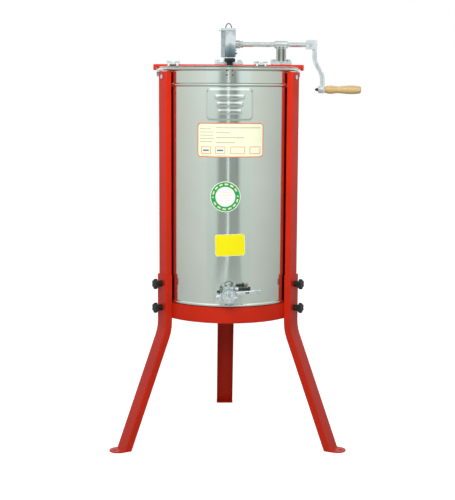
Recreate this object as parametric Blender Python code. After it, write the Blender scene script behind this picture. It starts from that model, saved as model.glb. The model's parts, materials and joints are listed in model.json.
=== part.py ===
"""Honey extractor with a hand crank: a stainless drum for two combs, on a red three-legged stand.

Metres, +Z up. The drum's axis is vertical, the crank shaft runs along X to the right, and the
honey gate is at the front, towards -Y. Pieces are drawn about the drum's axis and hang on one
empty, which puts the middle of the whole object's footprint at the world origin.
"""

import math

import bmesh
import bpy
from mathutils import Matrix, Vector

# Clearances between pieces
FIT = 0.0003
RUN = 0.0005
OVERRUN = 0.003
WELD = 0.0005

# Roundness
DRUM_SIDES = 48
WIDE_SIDES = 20
SHAFT_SIDES = 16
BORE_SIDES = 12
KNUCKLE_SIDES = 10
SMOOTH_ANGLE = math.radians(32)

# Drum
DRUM_WALL = 0.001
RIM_HEIGHT = 0.013
RIM_REACH = 0.012
RIM_ROLL = 0.0034
RIM_ROLL_STEPS = 4
BEAD_DROP = 0.0418
UPPER_BEAD_RISE = 0.003
LOWER_BEAD_RISE = 0.0023
BEAD_HALF = 0.0045
SKIRT_LIFT = 0.005
FLOOR_DROP = 0.023
FLOOR_RISE = 0.010
FLOOR_WALL = 0.0012
FLOOR_FLANGE = 0.014
FLOOR_SEAT_RADIUS = 0.032

# Bottom bearing
BEARING_FLANGE_RADIUS = 0.027
BEARING_FLANGE = 0.004
BEARING_RADIUS = 0.016
BEARING_HEIGHT = 0.020
BEARING_SOLE = 0.004

# Stand
HOOP_DROP = 0.053
HOOP_HEIGHT = 0.043
HOOP_WALL = 0.003
LEG_ANGLES = {"left": math.radians(210), "right": math.radians(330), "rear": math.radians(90)}
LEG_WIDTH = 0.042
LEG_DEPTH = 0.016
LEG_WALL = 0.0025
LEG_CORNER = 0.0025
LEG_CORNER_STEPS = 2
LEG_TOP_DROP = 0.012
LEG_BOTTOM_LIFT = 0.002
SLEEVE_WALL = 0.003
SLEEVE_RISE = 0.0753
BEND_DROP = 0.010
BEND_RADIUS = 0.106
BEND_STEPS = 3
SPLAY = math.radians(21.3)
FOOT_TOE = 0.03194
FOOT_THICK = 0.0035
FOOT_OVERLAP = 0.020
FOOT_HOLE_RADIUS = 0.005
FOOT_HOLE_INSET = 0.0135
FOOT_ARC_STEPS = 8

# Star knobs and their weld nuts
KNOB_RISES = {"upper": 0.051, "lower": -0.0145}
KNOB_NECK_RADIUS = 0.0085
KNOB_NECK = 0.013
KNOB_HEAD = 0.0105
KNOB_TIP_RADIUS = 0.0143
KNOB_VALLEY_RADIUS = 0.0116
KNOB_EDGE = 0.0025
KNOB_LOBES = 6
KNOB_LOBE_HALF = math.radians(14)
STUD_RADIUS = 0.004
LEG_STUD = 0.0142
LID_STUD = 0.008
WELD_NUT = 0.0065
WELD_NUT_RADIUS = 0.0075

# Crossbar
BAR_WIDTH = 0.050
BAR_THICK = 0.0085
BAR_LIP_DROP = 0.0155
BAR_LIP_THICK = 0.0055
BAR_LIP_GAP = 0.0005
BAR_CORNER = 0.002
BAR_CORNER_STEPS = 2

# Bolts
BOLT_RADIUS = 0.0035
BOLT_HOLE_RADIUS = 0.0040
BOLT_HEX_RADIUS = 0.0072
BOLT_HEX = 0.0062
BOLT_TAIL = 0.0022

# Crank line and gears
CRANK_ABOVE_BAR = 0.0552
GEAR_MODULE = 0.0016
GEAR_TEETH = 30
PINION_TEETH = 10
GEAR_FACE = 0.007
TOOTH_ADDENDUM_SHARE = 0.7
TOOTH_DEDENDUM_SHARE = 1.0
TOOTH_BACKLASH_SHARE = 0.16
TOOTH_PRESSURE = math.radians(20)
GEAR_BACKING = 0.0035
GEAR_HUB_RADIUS = 0.0115
GEAR_HUB = 0.0035
PINION_BACKING = 0.0012
PINION_HUB_RADIUS = 0.0062

# Gear case
CASE_LEFT = 0.021
CASE_SPLIT = 0.0098
CASE_RIGHT = 0.0187
CASE_HALF_DEPTH = 0.030
CASE_HALF_HEIGHT = 0.0348
CASE_WALL = 0.003
COVER_CHAMFER = 0.0085
CASE_LID = 0.0068
CASE_LID_LIP = 0.0006
LOOP_HALF_WIDTH = 0.0082
LOOP_HEIGHT = 0.0146
LOOP_WIRE = 0.0015
LOOP_STEPS = 10
LOOP_SIDES = 6
BASE_HALF_LENGTH = 0.0387
BASE_THICK = 0.0065
BASE_NECK_RADIUS = 0.016
BASE_BOLT_X = 0.0305

# Shafts, bushes and collar
MAIN_RADIUS = 0.008
MAIN_FOOT_RADIUS = 0.006
PINION_SEAT_RADIUS = 0.003
SHAFT_BUSH_RADIUS = 0.012
CRANK_RADIUS = 0.007
CRANK_BUSH_RADIUS = 0.010
CRANK_BUSH_FLANGE_RADIUS = 0.0115
CRANK_BUSH_FLANGE = 0.0115
COLLAR_RADIUS = 0.0095
COLLAR_LENGTH = 0.009

# Outer crank bearing
SUPPORT_SHARE = 0.70244
SUPPORT_BASE_HALF = 0.028
SUPPORT_BASE_THICK = 0.0082
SUPPORT_BOLT_X = 0.0218
SUPPORT_COLUMN_HALF = 0.0135
SUPPORT_WEB = 0.008
SUPPORT_RIB = 0.005
SUPPORT_RIB_HALF_DEPTH = 0.0092
SUPPORT_BARREL_HALF = 0.0172
SUPPORT_BARREL_RADIUS = 0.0107
SUPPORT_BUSH_RADIUS = 0.0088
SUPPORT_SEAT_STEPS = 8
SUPPORT_BUSH_PROUD = 0.0008

# Crank arm and grip
HUB_GAP = 0.0065
HUB_LENGTH = 0.025
HUB_HALF = 0.0127
ARM_OUT = 0.0307
ARM_SHIFT = 0.0222
ARM_STRAP = 0.005
ARM_HALF_WIDTH = 0.010
ARM_RIB = 0.0075
ARM_RIB_HALF_WIDTH = 0.0035
ARM_CURVE_START = 0.036
ARM_CURVE_END = 0.092
ARM_CURVE_STEPS = 6
CRANK_THROW = 0.1215
ARM_BOSS_HALF = 0.0104
ARM_BOSS_LENGTH = 0.0170
SET_SCREW_RADIUS = 0.004
SET_SCREW_HEAD_RADIUS = 0.0055
SET_SCREW_HEAD = 0.003
SPINDLE_RADIUS = 0.004
SPINDLE_NOSE_RADIUS = 0.0042
SPINDLE_NOSE = 0.009
GRIP_LENGTH = 0.1003
GRIP_SIDES = 14
GRIP_RADIUS = 0.0119
GRIP_BORE_SHARE = 0.86
GRIP_LENGTH_SHARES = (0.0, 0.02, 0.09, 0.18, 0.27, 0.35, 0.46, 0.60, 0.74, 0.86, 0.95, 0.985, 1.0)
GRIP_RADIUS_SHARES = (0.60, 0.74, 0.90, 0.965, 0.87, 0.80, 0.86, 0.96, 1.0, 0.965, 0.88, 0.80, 0.66)

# Basket for two combs
BASKET_LIFT = 0.0145
BASKET_HEADROOM = 0.0582
BASKET_SWEEP_GAP = 0.01627
BASKET_HEIGHT = 0.500
BASKET_HALF_LENGTH = 0.122
BASKET_HALF_WIDTH = 0.118
COMB_SLOT = 0.042
BASKET_BAR = 0.003
BASKET_TOP_BAR = 0.016
BASKET_BOTTOM_BAR = 0.010
BASKET_HUB_RADIUS = 0.014
BASKET_HUB = 0.020
COMB_RESTS = 3
SCREEN_COLUMNS = 5
SCREEN_ROWS = 6
SCREEN_POST = 0.018
GUIDE_COLUMNS = 4
GUIDE_ROWS = 4

# Lids, their hinges and knobs
LID_INSET = 0.0035
LID_THICK = 0.0012
LID_BAR_GAP = 0.001
LID_ARC_STEPS = 18
LID_FLAT = 0.0115
LID_DISH_INSET = 0.032
LID_DISH_SLOPE = 0.004
LID_DISH_DEPTH = 0.0035
LID_KNOB_INSET = 0.0355
HINGE_SHARES = {"left": -0.73659, "right": 0.42927}
HINGE_HALF_LENGTH = 0.018
HINGE_KNUCKLE_RADIUS = 0.003
HINGE_KNUCKLE_HALF = 0.006
HINGE_PIN_RADIUS = 0.0015
HINGE_RISE = 0.0077
HINGE_OUT = 0.0015
HINGE_LEAF = 0.0015
HINGE_BAR_LEAF = 0.012
HINGE_TONGUE = 0.0025
HINGE_LID_LEAF = 0.021

# Honey gate
OUTLET_HEIGHT = 0.451
GATE_DROP = 0.0165
GATE_BORE_RADIUS = 0.014
GATE_THREAD_RADIUS = 0.016
GATE_INSIDE = 0.013
GATE_FLANGE_RADIUS = 0.021
GATE_FLANGE = 0.0035
GATE_PIPE_RADIUS = 0.018
GATE_REACH = 0.040
GATE_RING_RADIUS = 0.0215
GATE_RING = 0.005
GASKET_THICK = 0.002
GASKET_RADIUS = 0.0205
GATE_NUT = 0.006
GATE_NUT_RADIUS = 0.0215
GATE_NUT_SETBACK = 0.0017
SHUTTER_RADIUS = 0.0205
SHUTTER_THICK = 0.004
SHUTTER_EDGE = 0.001
SHUTTER_BOSS_HALF = 0.0115
SHUTTER_BOSS_CORNER = 0.004
SHUTTER_BOSS_STEPS = 3
SHUTTER_BOSS = 0.002
PIVOT_X = 0.0295
PIVOT_DROP = 0.001
PIVOT_LUG_RADIUS = 0.009
PIVOT_LUG_STEPS = 8
PIVOT_RADIUS = 0.0033
PIVOT_HEAD_RADIUS = 0.0068
PIVOT_HEAD = 0.0042
LEVER_REACH = 0.082
LEVER_RISE = 0.0087
LEVER_ROOT_HALF = 0.0035
LEVER_TIP_HALF = 0.0062
LEVER_THICK = 0.003
THUMB_RISE = 0.0175
THUMB_SETBACK = 0.012
THUMB_BOSS_END = 0.0215
THUMB_BOSS_RADIUS = 0.0065
THUMB_SCREW_RADIUS = 0.0034
THUMB_SHANK_RADIUS = 0.0044
THUMB_HEAD_RADIUS = 0.0072
THUMB_HEAD = 0.0065
THUMB_END = 0.0562

# Heights that follow
hoop_top = OUTLET_HEIGHT - HOOP_DROP
hoop_bottom = hoop_top - HOOP_HEIGHT
sleeve_top = hoop_top + SLEEVE_RISE
bend_start = hoop_bottom - BEND_DROP
knob_heights = {level: hoop_top + rise for level, rise in KNOB_RISES.items()}
lower_bead = hoop_top + FIT + BEAD_HALF
floor_edge = OUTLET_HEIGHT - FLOOR_DROP
floor_seat = floor_edge + FLOOR_RISE
bearing_top = floor_seat + FIT + BEARING_HEIGHT
basket_bottom = bearing_top + BASKET_LIFT
basket_top = basket_bottom + BASKET_HEIGHT
rim_top = basket_top + BASKET_HEADROOM
upper_bead = rim_top - BEAD_DROP
bar_bottom = rim_top + FIT
bar_top = bar_bottom + BAR_THICK
crank_height = bar_top + CRANK_ABOVE_BAR
case_bottom = crank_height - CASE_HALF_HEIGHT
case_top = crank_height + CASE_HALF_HEIGHT
base_bottom = bar_top + FIT
base_top = base_bottom + BASE_THICK

# Radii and depths that follow
basket_sweep = math.hypot(BASKET_HALF_LENGTH, BASKET_HALF_WIDTH)
drum_radius = basket_sweep + BASKET_SWEEP_GAP + DRUM_WALL
hoop_outer = drum_radius + FIT + HOOP_WALL
leg_inner = math.sqrt(hoop_outer**2 - (LEG_WIDTH / 2 - LEG_WALL) ** 2) + FIT
leg_outer = leg_inner + LEG_DEPTH
sleeve_outer = leg_outer + FIT + SLEEVE_WALL
sleeve_width = LEG_WIDTH + 2 * (FIT + SLEEVE_WALL)
foot_half = sleeve_width / 2 + WELD
bend_reach = sleeve_outer + BEND_RADIUS * (1 - math.cos(SPLAY))
bend_end = bend_start - BEND_RADIUS * math.sin(SPLAY)
leg_end = bend_reach + (bend_end - FOOT_THICK / 2) * math.tan(SPLAY)
foot_reach = leg_end + FOOT_TOE
rim_outer = drum_radius + RIM_REACH
lid_radius = rim_outer - LID_INSET
dish_radius = lid_radius - LID_FLAT
lid_knob_y = lid_radius - LID_KNOB_INSET
gate_front = drum_radius + GATE_REACH
shutter_back = gate_front + FIT
shutter_front = shutter_back + SHUTTER_THICK
pivot_height = OUTLET_HEIGHT - GATE_DROP - PIVOT_DROP
gate_height = OUTLET_HEIGHT - GATE_DROP
bar_end = rim_outer + BAR_LIP_GAP + BAR_LIP_THICK
support_x = bar_end * SUPPORT_SHARE
hinge_xs = {side: bar_end * share for side, share in HINGE_SHARES.items()}
hub_start = bar_end + HUB_GAP
hub_end = hub_start + HUB_LENGTH
arm_outer = hub_start + ARM_OUT
grip_start = arm_outer + ARM_SHIFT + FIT
grip_height = crank_height - CRANK_THROW
lid_edge = BAR_WIDTH / 2 + LID_BAR_GAP
hinge_y = BAR_WIDTH / 2 + HINGE_OUT
hinge_z = bar_top + HINGE_RISE
lid_top = bar_bottom + LID_THICK
gear_distance = GEAR_MODULE * PINION_TEETH / 2
pinion_distance = GEAR_MODULE * GEAR_TEETH / 2

# The footprint's middle, measured from the drum's axis
leg_sweep = math.radians(30)
left_reach = (foot_reach - foot_half) * math.cos(leg_sweep) + foot_half
right_reach = grip_start + GRIP_LENGTH
front_reach = shutter_front + FIT + PIVOT_HEAD
footprint_middle = Vector(((right_reach - left_reach) / 2, (foot_reach - front_reach) / 2, 0))

TO_X = Matrix.Rotation(math.pi / 2, 4, "Y")
TO_FRONT = Matrix.Rotation(math.pi / 2, 4, "X")
TO_RIGHT = Matrix(((0, 0, 1, 0), (1, 0, 0, 0), (0, 1, 0, 0), (0, 0, 0, 1)))


# Scene and materials

for old in list(bpy.data.objects):
    bpy.data.objects.remove(old, do_unlink=True)

axis_empty = bpy.data.objects.new("drum_axis", None)
axis_empty.location = -footprint_middle
bpy.context.scene.collection.objects.link(axis_empty)


def finish(name, colour, roughness, metallic):
    made = bpy.data.materials.new(name)
    made.use_nodes = True
    shader = made.node_tree.nodes["Principled BSDF"]
    shader.inputs["Base Color"].default_value = (*colour, 1)
    shader.inputs["Roughness"].default_value = roughness
    shader.inputs["Metallic"].default_value = metallic
    made.diffuse_color = (*colour, 1)
    return made


RED = finish("red_paint", (0.62, 0.03, 0.02), 0.35, 0.0)
STAINLESS = finish("stainless_steel", (0.66, 0.69, 0.66), 0.18, 1.0)
ZINC = finish("zinc_plated_steel", (0.72, 0.74, 0.74), 0.3, 1.0)
CAST = finish("cast_aluminium", (0.70, 0.72, 0.73), 0.38, 1.0)
GEAR_STEEL = finish("gear_steel", (0.42, 0.43, 0.44), 0.4, 1.0)
BRONZE = finish("bronze", (0.55, 0.38, 0.18), 0.4, 1.0)
BLACK = finish("black_plastic", (0.015, 0.02, 0.02), 0.45, 0.0)
RUBBER = finish("black_rubber", (0.02, 0.02, 0.02), 0.8, 0.0)
WOOD = finish("turned_wood", (0.72, 0.51, 0.24), 0.5, 0.0)
DARK_STEEL = finish("dark_screw_steel", (0.10, 0.10, 0.10), 0.4, 1.0)


# Shapes, each returned as a bmesh


def joined_rings(rings, closed=False, caps=False):
    """A skin over rings that all have the same number of points, or a single one."""
    bm = bmesh.new()
    made = [[bm.verts.new(point) for point in ring] for ring in rings]
    pairs = list(zip(made, made[1:]))
    if closed:
        pairs.append((made[-1], made[0]))
    for low, high in pairs:
        count = max(len(low), len(high))
        for i in range(count):
            j = (i + 1) % count
            corners = [low[i % len(low)], low[j % len(low)], high[j % len(high)], high[i % len(high)]]
            bm.faces.new(list(dict.fromkeys(corners)))
    if caps:
        bm.faces.new(made[0])
        bm.faces.new(made[-1])
    return bm


def turned(profile, sides=SHAFT_SIDES, closed=False):
    """A turned shape about Z. An open profile starts and ends on the axis."""
    rings = []
    for radius, height in profile:
        if radius == 0:
            rings.append([(0, 0, height)])
            continue
        turns = [2 * math.pi * i / sides for i in range(sides)]
        rings.append([(radius * math.cos(t), radius * math.sin(t), height) for t in turns])
    return joined_rings(rings, closed=closed)


def rod(radius, low, high, sides=SHAFT_SIDES):
    return turned([(0, low), (radius, low), (radius, high), (0, high)], sides)


def tube(outer, inner, low, high, sides=SHAFT_SIDES):
    return turned([(outer, low), (outer, high), (inner, high), (inner, low)], sides, closed=True)


def prism(outline, low, high):
    """An outline in X and Y, extruded from one height to another."""
    return joined_rings([[(x, y, z) for x, y in outline] for z in (low, high)], caps=True)


def block(low, high):
    bm = bmesh.new()
    low, high = Vector(low), Vector(high)
    place = Matrix.Translation((low + high) / 2) @ Matrix.Diagonal((*(high - low), 1))
    bmesh.ops.create_cube(bm, size=1, matrix=place)
    return bm


def moved(bm, *matrices):
    for matrix in matrices:
        bmesh.ops.transform(bm, matrix=matrix, verts=bm.verts)
    return bm


def along_x(bm, y, z):
    return moved(bm, TO_X, Matrix.Translation((0, y, z)))


def along_front(bm, x, z):
    """Heights become distances in front of the drum's axis."""
    return moved(bm, TO_FRONT, Matrix.Translation((x, 0, z)))


def arc(centre, radius, start, end, steps):
    turns = [start + (end - start) * i / steps for i in range(steps + 1)]
    return [(centre[0] + radius * math.cos(t), centre[1] + radius * math.sin(t)) for t in turns]


def hex_levels(levels):
    """A stack of six-sided and round levels, each (height, radius, is_hex), along Z."""
    rings = []
    for height, radius, is_hex in levels:
        flat = math.cos(math.pi / 6) if is_hex else 1
        radii = [radius, radius * flat] * 6
        turns = [math.pi * i / 6 for i in range(12)]
        rings.append([(r * math.cos(t), r * math.sin(t), height) for r, t in zip(radii, turns)])
    return joined_rings(rings, caps=True)


def lattice(xs, ys, is_open, low, high):
    """A flat grating: cells between the lines xs and ys are solid unless is_open says not."""
    bm = bmesh.new()
    solid = {}
    for i in range(len(xs) - 1):
        for j in range(len(ys) - 1):
            solid[i, j] = not is_open(i, j)
    points = {}

    def point(i, j, z):
        key = (i, j, z)
        if key not in points:
            points[key] = bm.verts.new((xs[i], ys[j], z))
        return points[key]

    for (i, j), filled in solid.items():
        if not filled:
            continue
        corners = [(i, j), (i + 1, j), (i + 1, j + 1), (i, j + 1)]
        for z in (low, high):
            bm.faces.new([point(a, b, z) for a, b in corners])
        beyond = [(i, j - 1), (i + 1, j), (i, j + 1), (i - 1, j)]
        for side, neighbour in enumerate(beyond):
            if solid.get(neighbour):
                continue
            a, b = corners[side], corners[(side + 1) % 4]
            bm.faces.new([point(*a, low), point(*b, low), point(*b, high), point(*a, high)])
    return bm


def bars(span_start, span_end, count, width):
    """Lines of evenly spaced bars: each bar's two edges, first and last bar at the ends."""
    pitch = (span_end - span_start - width) / (count - 1)
    starts = [span_start + pitch * i for i in range(count)]
    return [edge for start in starts for edge in (start, start + width)]


def hidden_tool(name, bm, pivot):
    tool = put(name, bm, None, pivot)
    tool.hide_render = True
    tool.display_type = "WIRE"
    return tool


def put(name, bm, material, pivot):
    """An object from a bmesh drawn about the drum's axis, with its origin at pivot."""
    bmesh.ops.translate(bm, verts=bm.verts, vec=-Vector(pivot))
    bmesh.ops.recalc_face_normals(bm, faces=bm.faces)
    mesh = bpy.data.meshes.new(name)
    bm.to_mesh(mesh)
    bm.free()
    mesh.shade_smooth()
    mesh.set_sharp_from_angle(angle=SMOOTH_ANGLE)
    if material:
        mesh.materials.append(material)
    made = bpy.data.objects.new(name, mesh)
    made.location = pivot
    made.parent = axis_empty
    bpy.context.scene.collection.objects.link(made)
    return made


def piece(name, bm, material, pivot=(0, 0, 0), add=(), cut=()):
    """One sub-part: a shape, the shapes welded to it, and the shapes cut from it."""
    made = put(name, bm, material, pivot)
    for kind, tools in (("UNION", add), ("DIFFERENCE", cut)):
        for number, tool_shape in enumerate(tools, 1):
            tool = hidden_tool(f"{name}_{kind.lower()}_{number}", tool_shape, pivot)
            boolean = made.modifiers.new(tool.name, "BOOLEAN")
            boolean.operation = kind
            boolean.object = tool
            boolean.solver = "EXACT"
    return made


# Drum


def bead(centre, rise, radius):
    return [(radius, centre - BEAD_HALF), (radius + rise, centre), (radius, centre + BEAD_HALF)]


def build_drum():
    inner = drum_radius - DRUM_WALL
    bottom = hoop_bottom + SKIRT_LIFT
    flare = rim_top - RIM_HEIGHT
    roll_centre = (rim_outer - RIM_ROLL, rim_top - RIM_ROLL)
    roll = arc(roll_centre, RIM_ROLL, math.radians(-115), math.radians(170), RIM_ROLL_STEPS)
    outside = [(drum_radius, bottom)]
    outside += bead(lower_bead, LOWER_BEAD_RISE, drum_radius)
    outside += bead(upper_bead, UPPER_BEAD_RISE, drum_radius)
    outside += [(drum_radius, flare)] + roll
    inside = [(inner, flare + DRUM_WALL)]
    inside += reversed(bead(upper_bead, UPPER_BEAD_RISE, inner))
    inside += reversed(bead(lower_bead, LOWER_BEAD_RISE, inner))
    inside += [(inner, bottom)]
    shell = turned(outside + inside, DRUM_SIDES, closed=True)
    outlet_start = drum_radius - GATE_INSIDE
    outlet = rod(GATE_THREAD_RADIUS + RUN, outlet_start, drum_radius + OVERRUN, WIDE_SIDES)
    piece("drum_shell", shell, STAINLESS, cut=[along_front(outlet, 0, OUTLET_HEIGHT)])

    edge = inner - FIT
    floor = turned(
        [
            (0, floor_seat),
            (FLOOR_SEAT_RADIUS, floor_seat),
            (edge, floor_edge),
            (edge, floor_edge - FLOOR_FLANGE),
            (edge - FLOOR_WALL, floor_edge - FLOOR_FLANGE),
            (edge - FLOOR_WALL, floor_edge - FLOOR_WALL),
            (FLOOR_SEAT_RADIUS, floor_seat - FLOOR_WALL),
            (0, floor_seat - FLOOR_WALL),
        ],
        DRUM_SIDES,
    )
    piece("drum_floor", floor, STAINLESS)

    bearing_bottom = floor_seat + FIT
    bore = MAIN_FOOT_RADIUS + RUN
    bearing = turned(
        [
            (0, bearing_bottom),
            (BEARING_FLANGE_RADIUS, bearing_bottom),
            (BEARING_FLANGE_RADIUS, bearing_bottom + BEARING_FLANGE),
            (BEARING_RADIUS, bearing_bottom + BEARING_FLANGE),
            (BEARING_RADIUS, bearing_top),
            (bore, bearing_top),
            (bore, bearing_bottom + BEARING_SOLE),
            (0, bearing_bottom + BEARING_SOLE),
        ]
    )
    piece("bottom_bearing", bearing, BRONZE)


# Stand


def channel_section(inner, outer, width, wall, corner):
    """Points (radius, side) of a channel that opens towards the drum, with rounded bends."""
    half = width / 2
    quarter = math.pi / 2
    right = arc((outer - corner, half - corner), corner, 0, quarter, LEG_CORNER_STEPS)
    left = arc((outer - corner, corner - half), corner, -quarter, 0, LEG_CORNER_STEPS)
    inside = [(inner, half), (inner, half - wall), (outer - wall, half - wall)]
    inside += [(outer - wall, wall - half), (inner, wall - half), (inner, -half)]
    return left + right + inside


def at_leg(bm, angle):
    return moved(bm, Matrix.Rotation(angle, 4, "Z"))


def radial_rod(radius, start, end, height, angle, sides=BORE_SIDES):
    return at_leg(along_x(rod(radius, start, end, sides), 0, height), angle)


def build_upper_leg(side, angle):
    section = channel_section(leg_inner, leg_outer, LEG_WIDTH, LEG_WALL, LEG_CORNER)
    leg = at_leg(prism(section, hoop_bottom + LEG_BOTTOM_LIFT, rim_top - LEG_TOP_DROP), angle)
    web_inner = leg_outer - LEG_WALL
    nuts = []
    holes = []
    for height in knob_heights.values():
        levels = [(end, WELD_NUT_RADIUS, True) for end in (web_inner - WELD_NUT, web_inner + WELD)]
        nuts.append(at_leg(along_x(hex_levels(levels), 0, height), angle))
        hole_start = web_inner - WELD_NUT - OVERRUN
        holes.append(radial_rod(STUD_RADIUS + RUN, hole_start, leg_outer + OVERRUN, height, angle))
    piece(f"leg_upper_{side}", leg, RED, add=nuts, cut=holes)


def build_lower_leg(side, angle):
    """A channel that slips over the upper leg, bends outwards and ends in a flat foot."""
    section = channel_section(leg_inner, sleeve_outer, sleeve_width, SLEEVE_WALL, LEG_CORNER)
    outward = [(r - sleeve_outer, s) for r, s in section]
    rings = [[(sleeve_outer + depth, s, sleeve_top) for depth, s in outward]]
    for step in range(BEND_STEPS + 1):
        turn = SPLAY * step / BEND_STEPS
        r = sleeve_outer + BEND_RADIUS * (1 - math.cos(turn))
        z = bend_start - BEND_RADIUS * math.sin(turn)
        across, down = math.cos(turn), math.sin(turn)
        rings.append([(r + depth * across, s, z + depth * down) for depth, s in outward])
    foot_mid = FOOT_THICK / 2
    last = []
    for r, s, z in rings[-1]:
        last.append((r + (z - foot_mid) * math.tan(SPLAY), s, foot_mid))
    rings.append(last)
    leg = at_leg(joined_rings(rings, caps=True), angle)

    tip_centre = (foot_reach - foot_half, 0)
    quarter = math.pi / 2
    outline = arc(tip_centre, foot_half, -quarter, quarter, FOOT_ARC_STEPS)
    outline += [(leg_end - FOOT_OVERLAP, foot_half), (leg_end - FOOT_OVERLAP, -foot_half)]
    foot = at_leg(prism(outline, 0, FOOT_THICK), angle)
    hole = rod(FOOT_HOLE_RADIUS, -OVERRUN, FOOT_THICK + OVERRUN, BORE_SIDES)
    hole = moved(hole, Matrix.Translation((foot_reach - FOOT_HOLE_INSET, 0, 0)))
    holes = [at_leg(hole, angle)]
    for height in knob_heights.values():
        start, end = leg_outer - OVERRUN, sleeve_outer + OVERRUN
        holes.append(radial_rod(STUD_RADIUS + RUN, start, end, height, angle))
    piece(f"leg_lower_{side}", leg, RED, add=[foot], cut=holes)


def star_turns():
    """Directions round the knob: both edges of each lobe's tip, then the valley after it."""
    turns = []
    for lobe in range(KNOB_LOBES):
        middle = 2 * math.pi * lobe / KNOB_LOBES
        turns += [middle - KNOB_LOBE_HALF, middle + KNOB_LOBE_HALF, middle + math.pi / KNOB_LOBES]
    return turns


def knob_ring(tip_radius, valley_radius, height):
    radii = [tip_radius, tip_radius, valley_radius] * KNOB_LOBES
    return [(r * math.cos(t), r * math.sin(t), height) for r, t in zip(radii, star_turns())]


def star_knob(stud):
    """A star knob standing on Z = 0, with its stud below."""
    top = KNOB_NECK + KNOB_HEAD
    tip, valley = KNOB_TIP_RADIUS, KNOB_VALLEY_RADIUS
    rings = [
        knob_ring(STUD_RADIUS, STUD_RADIUS, -stud),
        knob_ring(STUD_RADIUS, STUD_RADIUS, 0),
        knob_ring(KNOB_NECK_RADIUS, KNOB_NECK_RADIUS, 0),
        knob_ring(KNOB_NECK_RADIUS, KNOB_NECK_RADIUS, KNOB_NECK),
        knob_ring(tip, valley, KNOB_NECK + KNOB_EDGE),
        knob_ring(tip, valley, top - KNOB_EDGE),
        knob_ring(tip - KNOB_EDGE, valley - KNOB_EDGE, top),
    ]
    return joined_rings(rings, caps=True)


def build_stand():
    hoop = tube(hoop_outer, drum_radius + FIT, hoop_bottom, hoop_top, DRUM_SIDES)
    piece("support_hoop", hoop, RED)
    for side, angle in LEG_ANGLES.items():
        build_upper_leg(side, angle)
        build_lower_leg(side, angle)
        for level, height in knob_heights.items():
            seat = sleeve_outer + FIT
            knob = along_x(star_knob(LEG_STUD), 0, height)
            knob = at_leg(moved(knob, Matrix.Translation((seat, 0, 0))), angle)
            pivot = (seat * math.cos(angle), seat * math.sin(angle), height)
            piece(f"leg_knob_{side}_{level}", knob, BLACK, pivot)


# Crossbar and what is bolted to it


def bolt(x, top, bottom):
    """A bolt with its head on top and its nut below, through two seats at these heights."""
    top, bottom = top + FIT, bottom - FIT
    levels = [
        (bottom - BOLT_HEX - BOLT_TAIL, BOLT_RADIUS, False),
        (bottom - BOLT_HEX, BOLT_RADIUS, False),
        (bottom - BOLT_HEX, BOLT_HEX_RADIUS, True),
        (bottom, BOLT_HEX_RADIUS, True),
        (bottom, BOLT_RADIUS, False),
        (top, BOLT_RADIUS, False),
        (top, BOLT_HEX_RADIUS, True),
        (top + BOLT_HEX, BOLT_HEX_RADIUS, True),
    ]
    return moved(hex_levels(levels), Matrix.Translation((x, 0, 0)))


def bolt_hole(x, low, high):
    hole = rod(BOLT_HOLE_RADIUS, low - OVERRUN, high + OVERRUN, BORE_SIDES)
    return moved(hole, Matrix.Translation((x, 0, 0)))


base_bolts = {"left": -BASE_BOLT_X, "right": BASE_BOLT_X}
support_bolts = {"inner": support_x - SUPPORT_BOLT_X, "outer": support_x + SUPPORT_BOLT_X}


def build_crossbar():
    inside = rim_outer + BAR_LIP_GAP
    lip_bottom = bar_top - BAR_LIP_DROP
    quarter = math.pi / 2
    corner = (bar_end - BAR_CORNER, bar_top - BAR_CORNER)
    right = [(inside, lip_bottom), (bar_end, lip_bottom)]
    right += arc(corner, BAR_CORNER, 0, quarter, BAR_CORNER_STEPS)
    left = [(-x, z) for x, z in reversed(right)]
    outline = [(-inside, bar_bottom), (inside, bar_bottom)] + right + left
    bar = prism(outline, -BAR_WIDTH / 2, BAR_WIDTH / 2)
    bar = moved(bar, TO_FRONT)
    bush_hole = rod(SHAFT_BUSH_RADIUS + RUN, bar_bottom - OVERRUN, bar_top + OVERRUN)
    holes = [bush_hole]
    for x in (*base_bolts.values(), *support_bolts.values()):
        holes.append(bolt_hole(x, bar_bottom, bar_top))
    piece("crossbar", bar, RED, cut=holes)


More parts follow.
